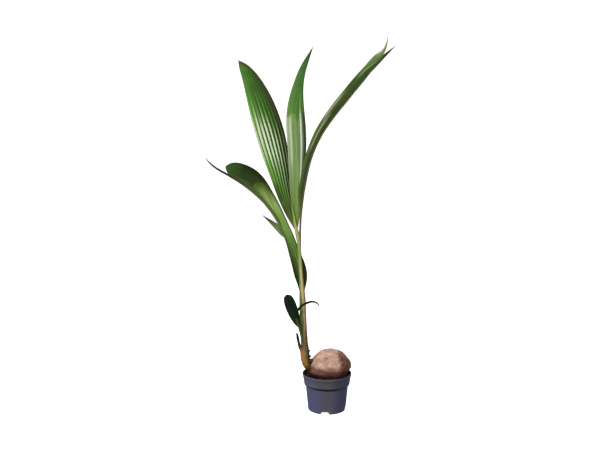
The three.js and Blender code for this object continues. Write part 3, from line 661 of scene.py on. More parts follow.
class Shader:
    """A material's node tree, built by short calls. A value is a number or a node's socket.

    colour is what has been built up so far, and each tint is laid over it.
    """

    def __init__(self, name, **settings):
        """settings are the plain values of the shader's own sockets."""
        self.material = bpy.data.materials.new(name)
        self.material.use_nodes = True
        self.tree = self.material.node_tree
        self.surface = self.tree.nodes["Principled BSDF"]
        self.colour = None
        for key, value in settings.items():
            self.feed(self.surface.inputs[key.replace("_", " ")], value)

    def feed(self, socket, value):
        """Gives an input its value, by a link where it comes from a node."""
        if isinstance(value, bpy.types.NodeSocket):
            self.tree.links.new(value, socket)
        else:
            socket.default_value = value

    def add(self, kind, inputs=(), **settings):
        """A new node, with its inputs by name."""
        made = self.tree.nodes.new("ShaderNode" + kind)
        for key, value in settings.items():
            setattr(made, key, value)
        for key, value in dict(inputs).items():
            self.feed(made.inputs[key], value)
        return made

    def parts(self, vector):
        """The three parts of a vector."""
        return self.add("SeparateXYZ", {"Vector": vector}).outputs

    def attribute(self, name):
        """The three parts of a vector that the mesh stores."""
        return self.parts(self.add("Attribute", attribute_name=name).outputs["Vector"])

    def position(self, scale=(1, 1, 1)):
        """The place on the piece in metres, times scale."""
        coordinates = self.add("TexCoord").outputs["Object"]
        return self.add("Mapping", {"Vector": coordinates, "Scale": scale}).outputs["Vector"]

    def vector(self, x, y, z=0.0):
        return self.add("CombineXYZ", {"X": x, "Y": y, "Z": z}).outputs["Vector"]

    def math(self, operation, first, *others):
        """first joined with each of the others in turn. A sine or size is of first alone."""
        for other in others or (0.0,):
            made = self.add("Math", operation=operation)
            self.feed(made.inputs[0], first)
            self.feed(made.inputs[1], other)
            first = made.outputs["Value"]
        return first

    def plus(self, *values):
        return self.math("ADD", *values)

    def times(self, *values):
        return self.math("MULTIPLY", *values)

    def minus(self, a, b):
        return self.math("SUBTRACT", a, b)

    def away(self, value, middle=0.0):
        """How far value is from middle, to either side."""
        return self.math("ABSOLUTE", self.minus(value, middle))

    def noise(self, vector, scale, detail=3.0, roughness=0.55):
        """Noise in lumps of 1 / scale. Its values lie round 0.5."""
        inputs = {"Vector": vector, "Scale": scale, "Detail": detail, "Roughness": roughness}
        return self.add("TexNoise", inputs).outputs["Fac"]

    def fibres(self, across, across_scale, length, length_scale, detail=2.0, roughness=0.55):
        """Noise that is drawn out along a leaf or limb."""
        stretched = self.vector(self.times(across, across_scale), self.times(length, length_scale))
        return self.noise(stretched, 1, detail, roughness)

    def swing(self, noise_value, reach):
        """Noise as a swing round 0."""
        return self.times(self.minus(noise_value, 0.5), reach)

    def span(self, value, low, high, to_low=0.0, to_high=1.0):
        """value from low to high becomes to_low to to_high, held at the ends."""
        inputs = {"Value": value, "From Min": low, "From Max": high, "To Min": to_low,
                  "To Max": to_high}
        return self.add("MapRange", inputs, interpolation_type="SMOOTHSTEP").outputs["Result"]

    def ramp(self, value, stops):
        """The colour at value of a list of stops, each its place, red, green and blue."""
        made = self.add("ValToRGB", {"Fac": value})
        colours = made.color_ramp
        while len(colours.elements) < len(stops):
            colours.elements.new(1)
        for element, (at, *colour) in zip(colours.elements, stops):
            element.position = at
            element.color = (*shown(colour), 1)
        return made.outputs["Color"]

    def lay(self, over, share, blend="MIX"):
        """Lays share of another colour over the material's colour."""
        made = self.add("Mix", data_type="RGBA", blend_type=blend)
        self.feed(made.inputs["Factor"], share)
        self.feed(made.inputs[6], self.colour)
        self.feed(made.inputs[7], (*shown(over), 1) if isinstance(over, tuple) else over)
        self.colour = made.outputs[2]

    def tint(self, over, value, low, high, strength=1.0, blend="MIX"):
        """Lays a colour over, from none where value is low to strength where it is high."""
        self.lay(over, self.span(value, low, high, 0, strength), blend)

    def bump(self, height, distance, strength, under=None):
        """A normal from a height, on top of the normal under it."""
        inputs = {"Height": height, "Distance": distance, "Strength": strength}
        if under is not None:
            inputs["Normal"] = under
        return self.add("Bump", inputs).outputs["Normal"]

    def finish(self, normal, roughness):
        """Joins the colour and these to the shader, and gives the material."""
        self.feed(self.surface.inputs["Base Color"], self.colour)
        self.feed(self.surface.inputs["Normal"], normal)
        self.feed(self.surface.inputs["Roughness"], roughness)
        return self.material


def shown(colour):
    """A colour of 0 to 255 as it shows on a screen, as the linear values that shaders take."""
    values = np.array(colour, float) / 255
    return np.where(values <= 0.04045, values / 12.92, ((values + 0.055) / 1.055) ** 2.4).tolist()


def streaked(s, highlight_streaks, u, t, phase, length):
    """Painted highlights, pale streaks on the pleats' left flanks half-way up a leaf where they face
    the light, and painted shade, dark lines between them.

    Each pleat's streak starts and ends at a height of its own and is green at its ends, and the
    streaks are thinner towards the right margin.
    """
    turn = s.times(phase, 2 * math.pi)
    own = s.span(s.noise(s.vector(phase, 0), 1.7, 1), 0.35, 0.65, -0.05, 0.05)
    height = s.plus(t, own)
    lower = s.plus(height, s.times(u, 0.16))
    upper = s.plus(height, s.span(u, 0, 0.8, 0, 0.14))

    thinner = s.span(u, -0.4, 0.75, 0, 1.05)
    crest = s.minus(s.math("SINE", s.plus(turn, 0.6)), thinner)
    patch = s.fibres(phase, 1, length, 5)
    flank = s.times(s.span(crest, -0.45, 0.35), s.span(u, -0.95, -0.75, 0.7, 1),
                    s.span(patch, 0.3, 0.6, 0.45, 1))
    green = s.times(s.span(lower, 0.12, 0.26), s.span(upper, 0.82, 0.62))
    white = s.times(s.span(lower, 0.24, 0.42), s.span(upper, 0.69, 0.58),
                    s.span(t, 0.28, 0.46, 0.4, 1))
    between = s.times(s.span(s.math("SINE", turn), -0.45, -0.85), green)

    # Painted highlights: green glare, then white glare, on the flanks that face the light
    s.lay((128, 174, 76), s.times(flank, green, 0.6 * highlight_streaks))
    s.lay((220, 230, 202), s.times(flank, white, 0.9 * highlight_streaks))
    # Painted shade in the valleys between the streaks
    s.lay((38, 60, 22), s.times(between, 0.9 * highlight_streaks))


def striped(s, u, t, stripe):
    """A stripe of another colour along a leaf, with soft edges and ends, for veins and painted
    light.
    """
    middle, half_width, first, last, line_colour, strength = stripe
    line = s.span(s.away(u, middle), half_width, 0.3 * half_width, 0, strength)
    reach = s.times(s.span(t, first, first + STRIPE_FADE), s.span(t, last, last - STRIPE_FADE))
    s.lay(line_colour, s.times(line, reach))


def leaf_material(name, stops, left=None, valley_shade=0.3, shade=0.0, highlight_streaks=0.0, veins_and_painted_light=(), rough=0.45,
                  shine=0.3, mottle=0.14):
    """Leaf skin, its colours given from foot to tip, and by left near the left margin.

    It has painted shade in the pleats' valleys by valley_shade, and painted shade towards the right
    margin, where the blade turns from the light, by shade. highlight_streaks gives painted
    highlights, pale streaks on the pleats' left flanks half-way up, and mottle yellower blotches.
    """
    s = Shader(name, Specular_IOR_Level=shine)
    across, length, phase = s.attribute("flow")
    u, t, _ = s.attribute("place")
    fine = s.fibres(across, 190, length, 5)
    broad = s.fibres(across, 45, length, 4, 3)
    blotch = s.noise(s.position(), 24, 4)
    height = s.plus(t, s.times(s.minus(s.plus(blotch, broad), 1), 0.1))
    s.colour = s.ramp(height, stops)
    if left:
        s.tint(s.ramp(height, left), u, -0.35, -0.85)
    s.tint((150, 172, 96), fine, 0.35, 0.7, 0.3, "SOFT_LIGHT")
    s.tint((126, 140, 56), blotch, 0.45, 0.65, mottle)
    # Painted shade: darker in the pleats' valleys, more so towards the right margin
    fold = s.math("SINE", s.times(phase, 2 * math.pi))
    low = s.times(s.span(fold, -0.2, -0.95, 0, valley_shade), s.span(u, -0.6, 0.4, 0.5, 1.4))
    s.lay((30, 46, 16), low, "MULTIPLY")
    # Painted shade towards the right margin, where the blade turns away from the light
    if shade:
        dim = s.ramp(t, [(0.5, 48, 51, 27), (0.85, 60, 64, 42)])
        s.tint(dim, u, 0.1, 0.8, shade)
    if highlight_streaks:
        streaked(s, highlight_streaks, u, t, phase, length)
    for stripe in veins_and_painted_light:
        striped(s, u, t, stripe)
    s.tint((112, 104, 60), s.away(u), 0.965, 0.995, 0.6)
    roughness = s.span(broad, 0.3, 0.7, rough, rough + 0.14)
    return s.finish(s.bump(fine, 0.0004, 0.3), roughness)


def stalk_material(name, stops):
    """Green leaf stalk with fine lengthwise ribs."""
    s = Shader(name, Specular_IOR_Level=0.5)
    turn, length, _ = s.attribute("flow")
    _, t, _ = s.attribute("place")
    ribs = s.fibres(turn, 34, length, 8, 3)
    s.colour = s.ramp(t, stops)
    s.tint((225, 225, 150), ribs, 0.35, 0.7, 0.4, "SOFT_LIGHT")
    s.tint((70, 65, 30), s.noise(s.position(), 210, 2), 0.62, 0.75, 0.35)
    return s.finish(s.bump(ribs, 0.0005, 0.4), s.span(ribs, 0.3, 0.7, 0.38, 0.5))


def stem_material():
    """Shoot: cream leaf bases with a green left side, a tan right side and a brown, mossy foot."""
    s = Shader("shoot_skin", Specular_IOR_Level=0.35)
    turn, length, _ = s.attribute("flow")
    lateral, t, _ = s.attribute("place")
    streaks = s.fibres(turn, 26, length, 6, 4, 0.6)
    fine = s.fibres(turn, 110, length, 12)
    side = s.plus(lateral, s.swing(streaks, 0.4))
    green_side = s.minus(side, s.times(s.ramp(t, STEM_GREEN_REACH), 1.3))
    s.colour = s.ramp(t, STEM_CORE)
    s.tint(s.ramp(t, STEM_LEFT), green_side, -0.3, -0.7)
    s.tint(s.ramp(t, STEM_RIGHT), side, 0.3, 0.72)
    moss = s.times(s.span(t, 0.1, 0.13), s.span(t, 0.23, 0.19),
                   s.span(s.away(side, 0.25), 0.5, 0.3), 0.75)
    s.lay((78, 92, 38), moss)
    s.tint((226, 214, 176), streaks, 0.35, 0.7, 0.4, "SOFT_LIGHT")
    s.tint((84, 66, 38), fine, 0.6, 0.75, 0.35)
    s.tint((104, 68, 42), s.noise(s.position(), 170, 3), 0.62, 0.72, 0.5)
    normal = s.bump(fine, 0.0004, 0.5, s.bump(streaks, 0.0012, 0.5))
    return s.finish(normal, s.span(streaks, 0.3, 0.7, 0.45, 0.62))


def husk_material():
    """Dry husk: pinkish tan on top, red-brown below and to the right, nearly black at the soil.
    Its creases have painted shade and its lumps painted highlight, and the darker right side and
    the black at the soil are partly painted shade.
    """
    s = Shader("dry_husk", Specular_IOR_Level=0.25)
    tone, height, sideways = s.attribute("place")
    wander = s.swing(s.noise(s.position((0.8, 1, 1)), 24, 5), 0.5)
    mottle = s.noise(s.position((0.5, 1, 1)), 62, 4, 0.6)
    fibres = s.noise(s.position((0.12, 1, 1)), 300, 3)
    falling = s.plus(height, s.times(sideways, 0.22))

    s.colour = s.ramp(mottle, [(0.3, 160, 122, 106), (0.45, 188, 150, 132),
                               (0.56, 204, 170, 150), (0.72, 226, 198, 176)])
    s.tint((222, 158, 138), s.noise(s.position(), 31, 2), 0.54, 0.66, 0.5)
    # Painted shade in the creases, where tone is low, and painted highlight on the lumps
    s.tint((112, 76, 62), tone, 0, -0.9, 0.55)
    s.tint((220, 200, 174), tone, 0.4, 0.9, 0.3)
    s.tint((118, 70, 66), s.plus(falling, wander), 0.02, -0.2, 0.92)
    # Darker red-brown to the right: partly the husk's colour, partly painted shade from the key
    # light
    right = s.span(s.plus(sideways, wander), 0.28, 0.5, 0, 0.85)
    s.lay((97, 40, 20), right)
    scuffed = s.times(right, s.span(mottle, 0.5, 0.66, 0, 0.6))
    s.lay((170, 124, 84), scuffed)
    # Nearly black at the soil: partly the husk's colour, partly painted shade where it meets the
    # soil
    lowest = s.plus(falling, s.times(wander, 0.5))
    s.tint((34, 15, 12), lowest, -0.32, -0.55, 0.9)
    s.tint((100, 66, 54), fibres, 0.6, 0.75, 0.22)
    normal = s.bump(fibres, 0.0005, 0.2, s.bump(mottle, 0.0012, 0.3))
    return s.finish(normal, s.span(mottle, 0.3, 0.7, 0.55, 0.78))


def scar_material():
    """Rough brown cork."""
    s = Shader("scar_cork", Specular_IOR_Level=0.2)
    cork = s.noise(s.position(), 260, 4, 0.7)
    s.colour = s.ramp(cork, [(0.3, 38, 26, 20), (0.5, 74, 50, 38), (0.75, 126, 92, 68)])
    return s.finish(s.bump(cork, 0.0012, 0.7), s.span(cork, 0.3, 0.7, 0.7, 0.9))


def soil_material():
    """Moist potting soil, nearly black, with browner crumbs."""
    s = Shader("potting_soil", Specular_IOR_Level=0.08)
    crumb = s.noise(s.position(), 330, 4, 0.7)
    s.colour = s.ramp(crumb, [(0.3, 7, 3, 2), (0.55, 18, 8, 5), (0.8, 42, 22, 14)])
    return s.finish(s.bump(crumb, 0.002, 0.8), s.span(crumb, 0.3, 0.7, 0.75, 0.95))


def sheath_material():
    """Dry scale leaf: ochre and orange-brown fibres, darker towards its withered tip."""
    s = Shader("dry_sheath", Specular_IOR_Level=0.15)
    across, length, _ = s.attribute("flow")
    u, t, _ = s.attribute("place")
    fibre = s.fibres(across, 700, length, 10, 4)
    s.colour = s.ramp(s.plus(t, s.swing(fibre, 0.25)), SHEATH_STOPS)
    s.tint((220, 180, 130), fibre, 0.4, 0.7, 0.4, "SOFT_LIGHT")
    moss = s.times(s.span(u, 0.3, 0.75), s.span(t, 0.6, 0.5), s.span(t, 0.34, 0.44), 0.75)
    s.lay((110, 112, 42), moss)
    s.tint((84, 60, 38), s.away(u), 0.8, 1, 0.35)
    return s.finish(s.bump(fibre, 0.0008, 0.6), s.span(fibre, 0.3, 0.7, 0.55, 0.75))


def fibre_material():
    """Torn husk: nearly black on top, red-brown where it lies on the nut."""
    s = Shader("torn_fibre", Specular_IOR_Level=0.25)
    tone = s.noise(s.position(), 90, 2)
    s.colour = s.ramp(tone, [(0.3, 16, 11, 9), (0.6, 44, 28, 20), (0.8, 86, 54, 36)])
    _, _, z = s.parts(s.position())
    s.tint((104, 62, 56), z, 0.207, 0.2, 0.8)
    normal = s.bump(s.noise(s.position(), 900), 0.0003, 0.4)
    return s.finish(normal, s.span(tone, 0.3, 0.7, 0.7, 0.85))


def grain_material(name, dark, light):
    """One kind of crumb, in a dark and a light tone."""
    s = Shader(name, Specular_IOR_Level=0.12)
    tone = s.noise(s.position(), 150, 3)
    s.colour = s.ramp(tone, [(0.35, *dark), (0.65, *light)])
    normal = s.bump(s.noise(s.position(), 700, 3), 0.0006, 0.6)
    return s.finish(normal, s.span(tone, 0.3, 0.7, 0.75, 0.9))


def pot_material():
    """Moulded plastic: slate grey, scuffed, and stained where the soil was. Its bluer sides are a
    painted reflection, the darker right side and a band under the collar are painted shade, and
    the nearly black inside is partly painted shade.
    """
    s = Shader("moulded_plastic", Specular_IOR_Level=0.4)
    inside, _, _ = s.attribute("place")
    x, _, z = s.parts(s.position())
    fine = s.noise(s.position(), 900, 2)
    cloud = s.noise(s.position((1, 1, 0.4)), 26, 4, 0.6)
    scuff = s.noise(s.position((1, 1, 6)), 60, 5, 0.7)

    s.colour = s.ramp(cloud, [(0.3, 78, 77, 82), (0.55, 86, 85, 91), (0.8, 96, 95, 103)])
    # Painted reflection: bluer towards the sides, over the collar and more so on the body
    s.tint((92, 91, 126), s.away(x), 0.02, 0.075, 0.6)
    body = s.times(s.span(z, 0.104, 0.096), s.span(s.away(x), 0, 0.05, 0.1, 0.8))
    s.lay((82, 83, 122), body)
    # Painted shade: darker indigo towards the right side, away from the key light
    s.tint((40, 33, 71), x, 0, 0.075, 0.5)
    s.tint((124, 122, 130), scuff, 0.6, 0.75, 0.3)
    dust = s.times(s.span(z, 0.03, 0), s.span(cloud, 0.4, 0.7), 0.4)
    s.lay((112, 104, 104), dust)
    # Painted shadow: a dark band on the body just under the collar
    collar_shadow = s.times(s.span(z, 0.0955, 0.099), s.span(z, 0.1085, 0.1065),
                       s.span(s.away(x, -0.008), 0.07, 0.03, 0.45, 1), 0.95)
    s.lay((14, 14, 20), collar_shadow)
    # Nearly black inside: partly the dark inner wall, partly painted shade
    s.lay((12, 6, 5), s.times(inside, 0.98))
    gloss = s.plus(s.span(scuff, 0.35, 0.7, 0.45, 0.6), s.times(inside, 0.35))
    return s.finish(s.bump(fine, 0.0002, 0.25), gloss)


# Leaves, stalks and shoot

def make_leaves():
    """The nine blades, each with its own colours."""
    for key, shape, skin, rows, *nodes in LEAVES:
        piece = blade(key + "_blade", shape, rows)
        place(piece, leaf_material("leaf_" + key, **skin), "leaf", *nodes)


def groove(angle, t, points):
    """Fine ribs along a stalk."""
    return 0.12 * np.sin(9 * angle) + 0.08 * np.sin(17 * angle + 5 * t)


def make_stalks():
    """The stalks of the front, right and small leaf."""
    for key, shape, rows, sides in (("front", FRONT_STALK, 160, 40), ("right", RIGHT_STALK, 240, 28),
                                    ("small", SMALL_STALK, 160, 40)):
        piece = limb(key + "_stalk", shape, rows, sides, groove)
        skin = stalk_material("stalk_" + key, STALK_STOPS[key])
        place(piece, skin, "stalk", key + "_leaf_stalk")


def stem_relief(angle, t, points):
    """Lengthwise ribs, sheath edges that run slantwise round the shoot, and a rough foot."""
    ribs = 0.22 * np.sin(13 * angle + 4 * np.sin(3 * t)) + 0.14 * np.sin(29 * angle + 9 * t)
    steps = np.zeros_like(angle * t)
    for height, slant, turn, depth in SHEATH_EDGES:
        edge = height + slant * np.cos(angle - turn)
        steps += depth * (1 - smooth(edge - 0.004, edge + 0.004, t)) - depth / 2
    rough = grain(points, 9).reshape(steps.shape) * 0.5 * (1 - smooth(0.2, 0.5, t))
    return 0.6 * (ribs + steps) + rough


def make_shoot():
    """The slender shoot that stands for the trunk."""
    place(limb("shoot", STEM, 420, 96, stem_relief), stem_material(), "stem", "stem")


def beside_stem(shares, facing, stand_off):
    """Points that stand off the stem's bark on the side that they face."""
    centre, tangent, _ = spline(STEM["path"], shares)
    outward = np.array(facing) - tangent * (tangent @ np.array(facing))[:, None]
    reach = along(STEM["radius"], shares) + stand_off
    return (centre + unit(outward) * reach[:, None]).tolist()


def make_sheath():
    """The dry scale leaf that lies against the shoot's foot, with a free tip."""
    path = beside_stem(SHEATH["stem_shares"], SHEATH["facing"], SHEATH["stand_off"])
    shape = {**SHEATH, "path": [*path, *SHEATH["free_path"]]}
    piece = blade("scale_leaf", shape, 160, thickness=(1.6, 0.7), waviness=1.5)
    place(piece, sheath_material(), "sheath", "outer_sheath")


def strand(points, radius, sides=5):
    """Points and faces of one tapering strand along points."""
    tangent = unit(np.gradient(points, axis=0))
    side = unit(np.cross(tangent, (0.3, 0.5, 0.81)))
    thin = radius * np.linspace(1, 0.25, len(points))[:, None, None]
    circles = points[:, None] + thin * outwards(side, tangent, sides)
    return circles.reshape(-1, 3), tube_faces(len(points), sides)


def joined(name, parts, sharp=60):
    """One object from many (points, faces) parts."""
    points, faces, start = [], [], 0
    for part_points, part_faces in parts:
        points.append(part_points)
        faces += [tuple(start + k for k in face) for face in part_faces]
        start += len(part_points)
    return make_mesh(name, np.vstack(points), faces, sharp=sharp)


def loose_strand(foot, reach, radius):
    """A short curved strand that lies along a flap of husk."""
    start = foot + reach * rng.uniform(-0.2, 0.5) + rng.normal(0, radius * 0.33, 3)
    end = start + reach * rng.uniform(0.2, 0.5) + rng.normal(0, 0.9, 3)
    middle = (start + end) / 2 + rng.normal(0, 0.7, 3)
    s = np.linspace(0, 1, 6)[:, None]
    line = (1 - s) ** 2 * start + 2 * s * (1 - s) * middle + s ** 2 * end
    return strand(line, rng.uniform(0.4, 1.0))


def make_flaps():
    """Torn flaps of husk beside the shoot's foot: rough cones with short strands along them."""
    parts = []
    for foot, tip, radius in HUSK_FLAPS:
        foot, reach = np.array(foot, float), np.array(tip, float) - foot
        core, faces = strand(foot + reach * np.linspace(-0.3, 0.9, 20)[:, None], radius * 0.8, 24)
        lumps = np.stack([grain(core + offset, 2.5) for offset in (0, 100, 200)], axis=1)
        parts.append((core + FLAP_LUMP * lumps, faces))
        parts += [loose_strand(foot, reach, radius) for _ in range(STRANDS_PER_FLAP)]
    place(joined("husk_tufts", parts), fibre_material(), "fibre",
          "husk_fibre_1", "husk_fibre_2", "husk_fibre_3")


# Nut

def nut_frame(points):
    """Points about the nut's middle, turned and moved to where it lies."""
    tilt, yaw = math.radians(-NUT["tilt"]), math.radians(NUT["yaw"])
    about_y = np.array([[math.cos(tilt), 0, math.sin(tilt)], [0, 1, 0],
                        [-math.sin(tilt), 0, math.cos(tilt)]])
    about_z = np.array([[math.cos(yaw), -math.sin(yaw), 0], [math.sin(yaw), math.cos(yaw), 0],
                        [0, 0, 1]])
    return points @ (about_z @ about_y).T + np.array(NUT["centre"])


def ball(rows, sides):
    """Unit points of a ball with its poles on X, and its faces."""
    polar = np.linspace(0, np.pi, rows + 2)[1:-1, None]
    angle = 2 * np.pi * np.arange(sides)[None, :] / sides
    circles = np.stack([-np.cos(polar) * np.ones_like(angle), np.sin(polar) * np.cos(angle),
                        np.sin(polar) * np.sin(angle)], axis=2).reshape(-1, 3)
    points = np.vstack([circles, [[-1, 0, 0]], [[1, 0, 0]]])
    return points, [face[::-1] for face in pointed_faces(rows, sides)]


def husk_body(points):
    """Unit points of a ball as the smooth nut: three blunt ridges, and a lip at its lower left."""
    x, y, z = points.T
    from_axis = np.hypot(y, z)
    turn = np.arctan2(z, y) - NUT["ridge_turn"]
    ridge = 1 + NUT["ridge"] * np.cos(NUT["ridges"] * turn) * from_axis
    narrow = 1 - np.where(x > 0, NUT["point"], NUT["blunt"]) * x ** 2
    lip = 1 + np.where(x < 0, NUT["lip"] * smooth(0, NUT["lip_height"], -z), 0)
    return points * NUT_SIZE * np.stack([lip, ridge * narrow, ridge * narrow], axis=1)


def make_nut():
    """The husk: long creases that wander over the nut, with lumps and dents between them."""
    points, faces = ball(190, 300)
    body = husk_body(points)
    size = HUSK_GRAIN
    warp = np.stack([grain(body + offset, size["warp"], 2) for offset in (0, 400, 800)], axis=1)
    warp = warp * HUSK_RELIEF["warp"]
    lumps = grain(body * (0.6, 1, 1) + warp, size["lump"], 2)
    wrinkles = 1 - np.abs(grain(body * (0.4, 1, 1) + warp + 200, size["crease"], 2)) * 2.4
    wrinkles = np.clip(wrinkles, 0, 1) ** 2
    relief = (HUSK_RELIEF["lump"] * lumps - HUSK_RELIEF["crease"] * wrinkles
              + HUSK_RELIEF["dent"] * grain(body + 900, size["dent"], 2)
              + HUSK_RELIEF["fine"] * grain(body, size["fine"], 2))
    body = body + unit(points / NUT_SIZE) * (relief - HUSK_RELIEF["sunk"])[:, None]
    # tone is low in the creases and high on the lumps, for painted shade and highlight there
    tone = np.clip(0.8 * lumps - 1.1 * wrinkles + 0.3, -1, 1)
    places = np.stack([tone, points[:, 2], points[:, 0]], axis=1)
    place(make_mesh("husk", nut_frame(body), faces, {"place": places}), husk_material(),
          "husk", "coconut")


def make_scar():
    """A low crown of stubs round a hollow, where the nut's stalk came off."""
    points, faces = ball(30, 72)
    x, y, z = points.T
    lobes = 1 + SCAR["bulge"] * np.cos(SCAR["lobes"] * np.arctan2(z, y))
    hollow = SCAR["hollow"] * np.exp(-(np.hypot(y, z) / SCAR["hollow_share"]) ** 2)
    height = (x * 0.5 + 0.5) * SCAR["length"] - np.where(x > 0, hollow, 0)
    body = np.stack([height, y * SCAR["radius"] * lobes, z * SCAR["radius"] * lobes], axis=1)
    body += unit(points) * (grain(body, 4) * SCAR["roughness"])[:, None]
    body[:, 0] += NUT["half_length"] - SCAR["sunk"]
    place(make_mesh("stalk_scar_crown", nut_frame(body), faces), scar_material(),
          "husk", "stalk_scar")


# Soil

def soil_height(x, y):
    """The height of the rough, slightly mounded soil at a place."""
    share = np.hypot(x, y) / SOIL["radius"]
    rough = grain(np.stack([x, y, np.zeros_like(x)], axis=-1), 14, 4).reshape(np.shape(x))
    return SOIL["level"] + SOIL["mound"] * (1 - share ** 2) + SOIL["roughness"] * rough


def make_soil():
    """A lumpy bed of soil that fills the pot."""
    clear = POT["wall"] + 1
    foot = (POT["body_foot_radius"] - clear, POT["underside_rise"] + POT["wall"] + 0.5)
    shoulder = (POT["body_top_radius"] - clear, POT["height"] - POT["collar_height"] + 2)
    top = [(SOIL["radius"] * share, 0) for share in np.linspace(0.02, 1, 70)[::-1]]
    points = rings([foot, shoulder, *top], POT_SIDES)
    upper = points[2 * POT_SIDES:]
    upper[:, 2] = soil_height(upper[:, 0], upper[:, 1])
    soil = make_mesh("soil_bed", points, tube_faces(len(top) + 2, POT_SIDES), sharp=80)
    place(soil, soil_material(), "soil", "soil")


def chip(centre, size, stretch):
    """An eight-cornered crumb, its corners pushed about."""
    corners = np.array([(x, y, z) for x in (-1, 1) for y in (-1, 1) for z in (-1, 1)], float)
    corners *= rng.uniform(0.55, 1.0, corners.shape)
    corners = corners * size * np.array(stretch) / 2
    turn, _ = np.linalg.qr(rng.normal(size=(3, 3)))
    if np.linalg.det(turn) < 0:
        turn[:, 0] *= -1
    faces = [(0, 1, 3, 2), (4, 6, 7, 5), (0, 4, 5, 1), (2, 3, 7, 6), (0, 2, 6, 4), (1, 5, 7, 3)]
    return corners @ turn.T + centre, faces


def on_soil():
    """A place on the soil that is clear of the rim and of the nut."""
    nut_x, nut_y, _ = NUT["centre"]
    half_x, half_y = NUT["half_at_soil"]
    while True:
        x, y = rng.uniform(-SOIL["radius"], SOIL["radius"], 2)
        inside = math.hypot(x, y) < SOIL["radius"] - 2
        free = ((x - nut_x) / half_x) ** 2 + ((y - nut_y) / half_y) ** 2 > 1
        if inside and free:
            return x, y, float(soil_height(np.array(x), np.array(y)))


def make_crumbs():
    """Crumbs of soil, chips of bark and a few pale grains, scattered on the soil."""
    for name, count, sizes, stretch, *look in CRUMBS:
        parts = []
        for _ in range(count):
            x, y, z = on_soil()
            size = rng.uniform(*sizes)
            parts.append(chip((x, y, z + 0.15 * size), size, stretch))
        place(joined(name, parts, sharp=35), grain_material(*look), "soil")


# Pot

def arc(centre, radius, start, end, steps=5):
    """Points of an arc in a profile, by degrees."""
    turns = np.radians(np.linspace(start, end, steps))
    return [(centre[0] + radius * math.cos(turn), centre[1] + radius * math.sin(turn))
            for turn in turns]


def pot_underside(foot, rise):
    """The pad, the raised ring round it and the foot ring, from the middle outwards."""
    pad, corner = POT["pad_radius"], POT["foot_round"]
    ring_inner = foot - corner - POT["foot_ring_width"]
    return [(0.5, 0), *arc((pad - 1, 1), 1, -90, 0), (pad + POT["underside_slope"], rise),
            (ring_inner - POT["underside_slope"] / 2, rise), (ring_inner, 1),
            (ring_inner + 0.6, 0), *arc((foot - corner, corner), corner, -90, 0, 7)]


def pot_collar(collar, top):
    """The step out to the collar, the soft step in it, and the rolled rim."""
    body, foot, rim = POT["body_top_radius"], POT["collar_foot_radius"], POT["rim_radius"]
    return [(body - 1.2, collar - 3.5), (body - 1.4, collar), (body + 1.5, collar),
            (foot - 2.2, collar), *arc((foot - 2, collar + 2), 2, -90, 0),
            (foot + 0.55, collar + 7), (foot + 1.0, collar + 7.8), (foot + 1.1, collar + 8.6),
            (foot + 1.3, collar + 12), (rim - 1.2, top - 8), (rim - 0.2, top - 7),
            (rim, top - 5.8), (rim, top - 1.5), *arc((rim - 1.2, top - 1.2), 1.2, 0, 180, 7)]


def pot_profile():
    """The pot's outside from the middle of its underside to the rim, and its inside."""
    foot, body_top, wall = POT["body_foot_radius"], POT["body_top_radius"], POT["wall"]
    top, rise = POT["height"], POT["underside_rise"]
    collar = top - POT["collar_height"]
    low, high = 2 * POT["foot_round"], collar - 5
    body = [(foot + (body_top - foot) * k / 12, low + (high - low) * k / 12) for k in range(13)]
    inside = [(POT["rim_radius"] - wall, top - 4),
              (POT["collar_foot_radius"] - wall, collar + 2 * wall),
              (body_top - wall, collar + wall), (foot - wall, rise + wall), (0.5, rise + wall)]
    return [*pot_underside(foot, rise), *body, *pot_collar(collar, top), *inside], len(inside)


def drained(points):
    """Lifts the foot ring over each drain notch, in an arch."""
    rise = POT["underside_rise"]
    angle = np.arctan2(points[:, 1], points[:, 0]) - math.radians(DRAIN["turn"])
    radius = np.hypot(points[:, 0], points[:, 1])
    step = 2 * np.pi / DRAIN["count"]
    aside = np.abs((angle + step / 2) % step - step / 2) * radius
    share = np.clip(aside / (DRAIN["width"] / 2), 0, 1)
    lift = DRAIN["height"] * np.sqrt(1 - share ** 4)
    ring = radius > POT["body_foot_radius"] - POT["foot_round"] - POT["foot_ring_width"] - 1
    low = ring & (points[:, 2] < rise)
    moved = points.copy()
    moved[low, 2] += lift[low] * (1 - points[low, 2] / rise)
    return moved


def make_pot():
    """The nursery pot. Its places store 1 on the inside."""
    profile, inner = pot_profile()
    inside = np.zeros((len(profile), POT_SIDES, 3))
    inside[-inner:, :, 0] = 1
    pot = make_mesh("nursery_pot", drained(rings(profile, POT_SIDES)),
                    tube_faces(len(profile), POT_SIDES), {"place": inside}, sharp=38)
    place(pot, pot_material(), "pot_plastic", "pot")


# Stage

def only_seen(piece, material):
    """A stage piece that shows, and neither lights the plant nor is mirrored in it."""
    piece.data.materials.append(material)
    piece.visible_diffuse = piece.visible_glossy = piece.visible_transmission = False


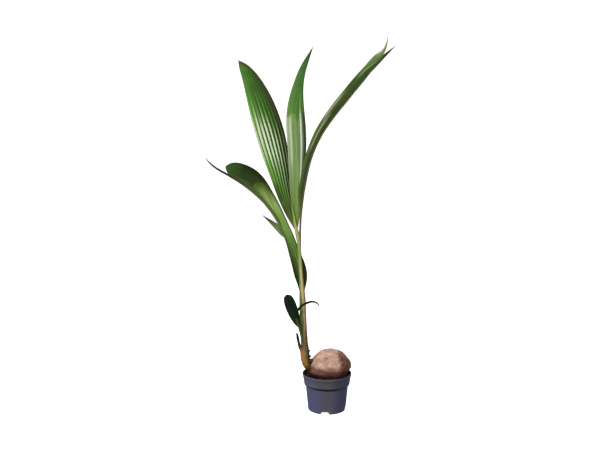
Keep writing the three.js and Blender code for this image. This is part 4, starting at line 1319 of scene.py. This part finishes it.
def make_floor():
    """A pale floor, lit by itself so that it is even."""
    corners = [(-FLOOR_HALF, -FLOOR_HALF, 0), (FLOOR_HALF, -FLOOR_HALF, 0),
               (FLOOR_HALF, FLOOR_HALF, 0), (-FLOOR_HALF, FLOOR_HALF, 0)]
    s = Shader("floor_paint", Roughness=0.9, Specular_IOR_Level=0.0, Emission_Strength=0.95,
               Emission_Color=(1, 1, 1, 1))
    tone = s.ramp(s.noise(s.position(), 3, 4), [(0.3, 244, 244, 244), (0.7, 250, 250, 250)])
    s.feed(s.surface.inputs["Base Color"], tone)
    only_seen(make_mesh("floor", corners, [(0, 1, 2, 3)]), s.material)


def make_backdrop():
    """A plain white room, far off on all sides."""
    points, faces = ball(24, 48)
    backdrop = make_mesh("backdrop", points * BACKDROP_RADIUS, faces)
    s = Shader("backdrop_paint", Specular_IOR_Level=0.0, Emission_Strength=1.05,
               Emission_Color=(1, 1, 1, 1))
    backdrop.visible_shadow = False
    only_seen(backdrop, s.material)


def make_light():
    """Soft white light from all round, and the soft lights of LIGHTS."""
    world = bpy.data.worlds.new("studio")
    world.use_nodes = True
    background = world.node_tree.nodes["Background"]
    background.inputs["Color"].default_value = (1, 1, 1, 1)
    background.inputs["Strength"].default_value = WORLD_STRENGTH
    bpy.context.scene.world = world
    for name, (spot, aim, power, size) in LIGHTS.items():
        light = bpy.data.lights.new(name, "AREA")
        light.energy = power
        light.shape = "RECTANGLE"
        light.size, light.size_y = size
        lamp = add_object(name, light)
        lamp.location = spot
        lamp.rotation_euler = (Vector(aim) - Vector(spot)).to_track_quat("-Z", "Y").to_euler()


def make_camera():
    """The camera, where the photograph was taken from."""
    data = bpy.data.cameras.new("camera")
    data.sensor_width = SENSOR_WIDTH
    data.lens = FOCAL_LENGTH
    camera = add_object("camera", data)
    camera.location = CAMERA_PLACE
    camera.rotation_euler = (math.radians(90 - CAMERA_PITCH), 0, 0)
    bpy.context.scene.camera = camera


make_camera()
make_floor()
make_backdrop()
make_light()
make_pot()
make_soil()
make_crumbs()
make_nut()
make_scar()
make_shoot()
make_sheath()
make_flaps()
make_stalks()
make_leaves()
bpy.context.scene.view_settings.view_transform = "Standard"
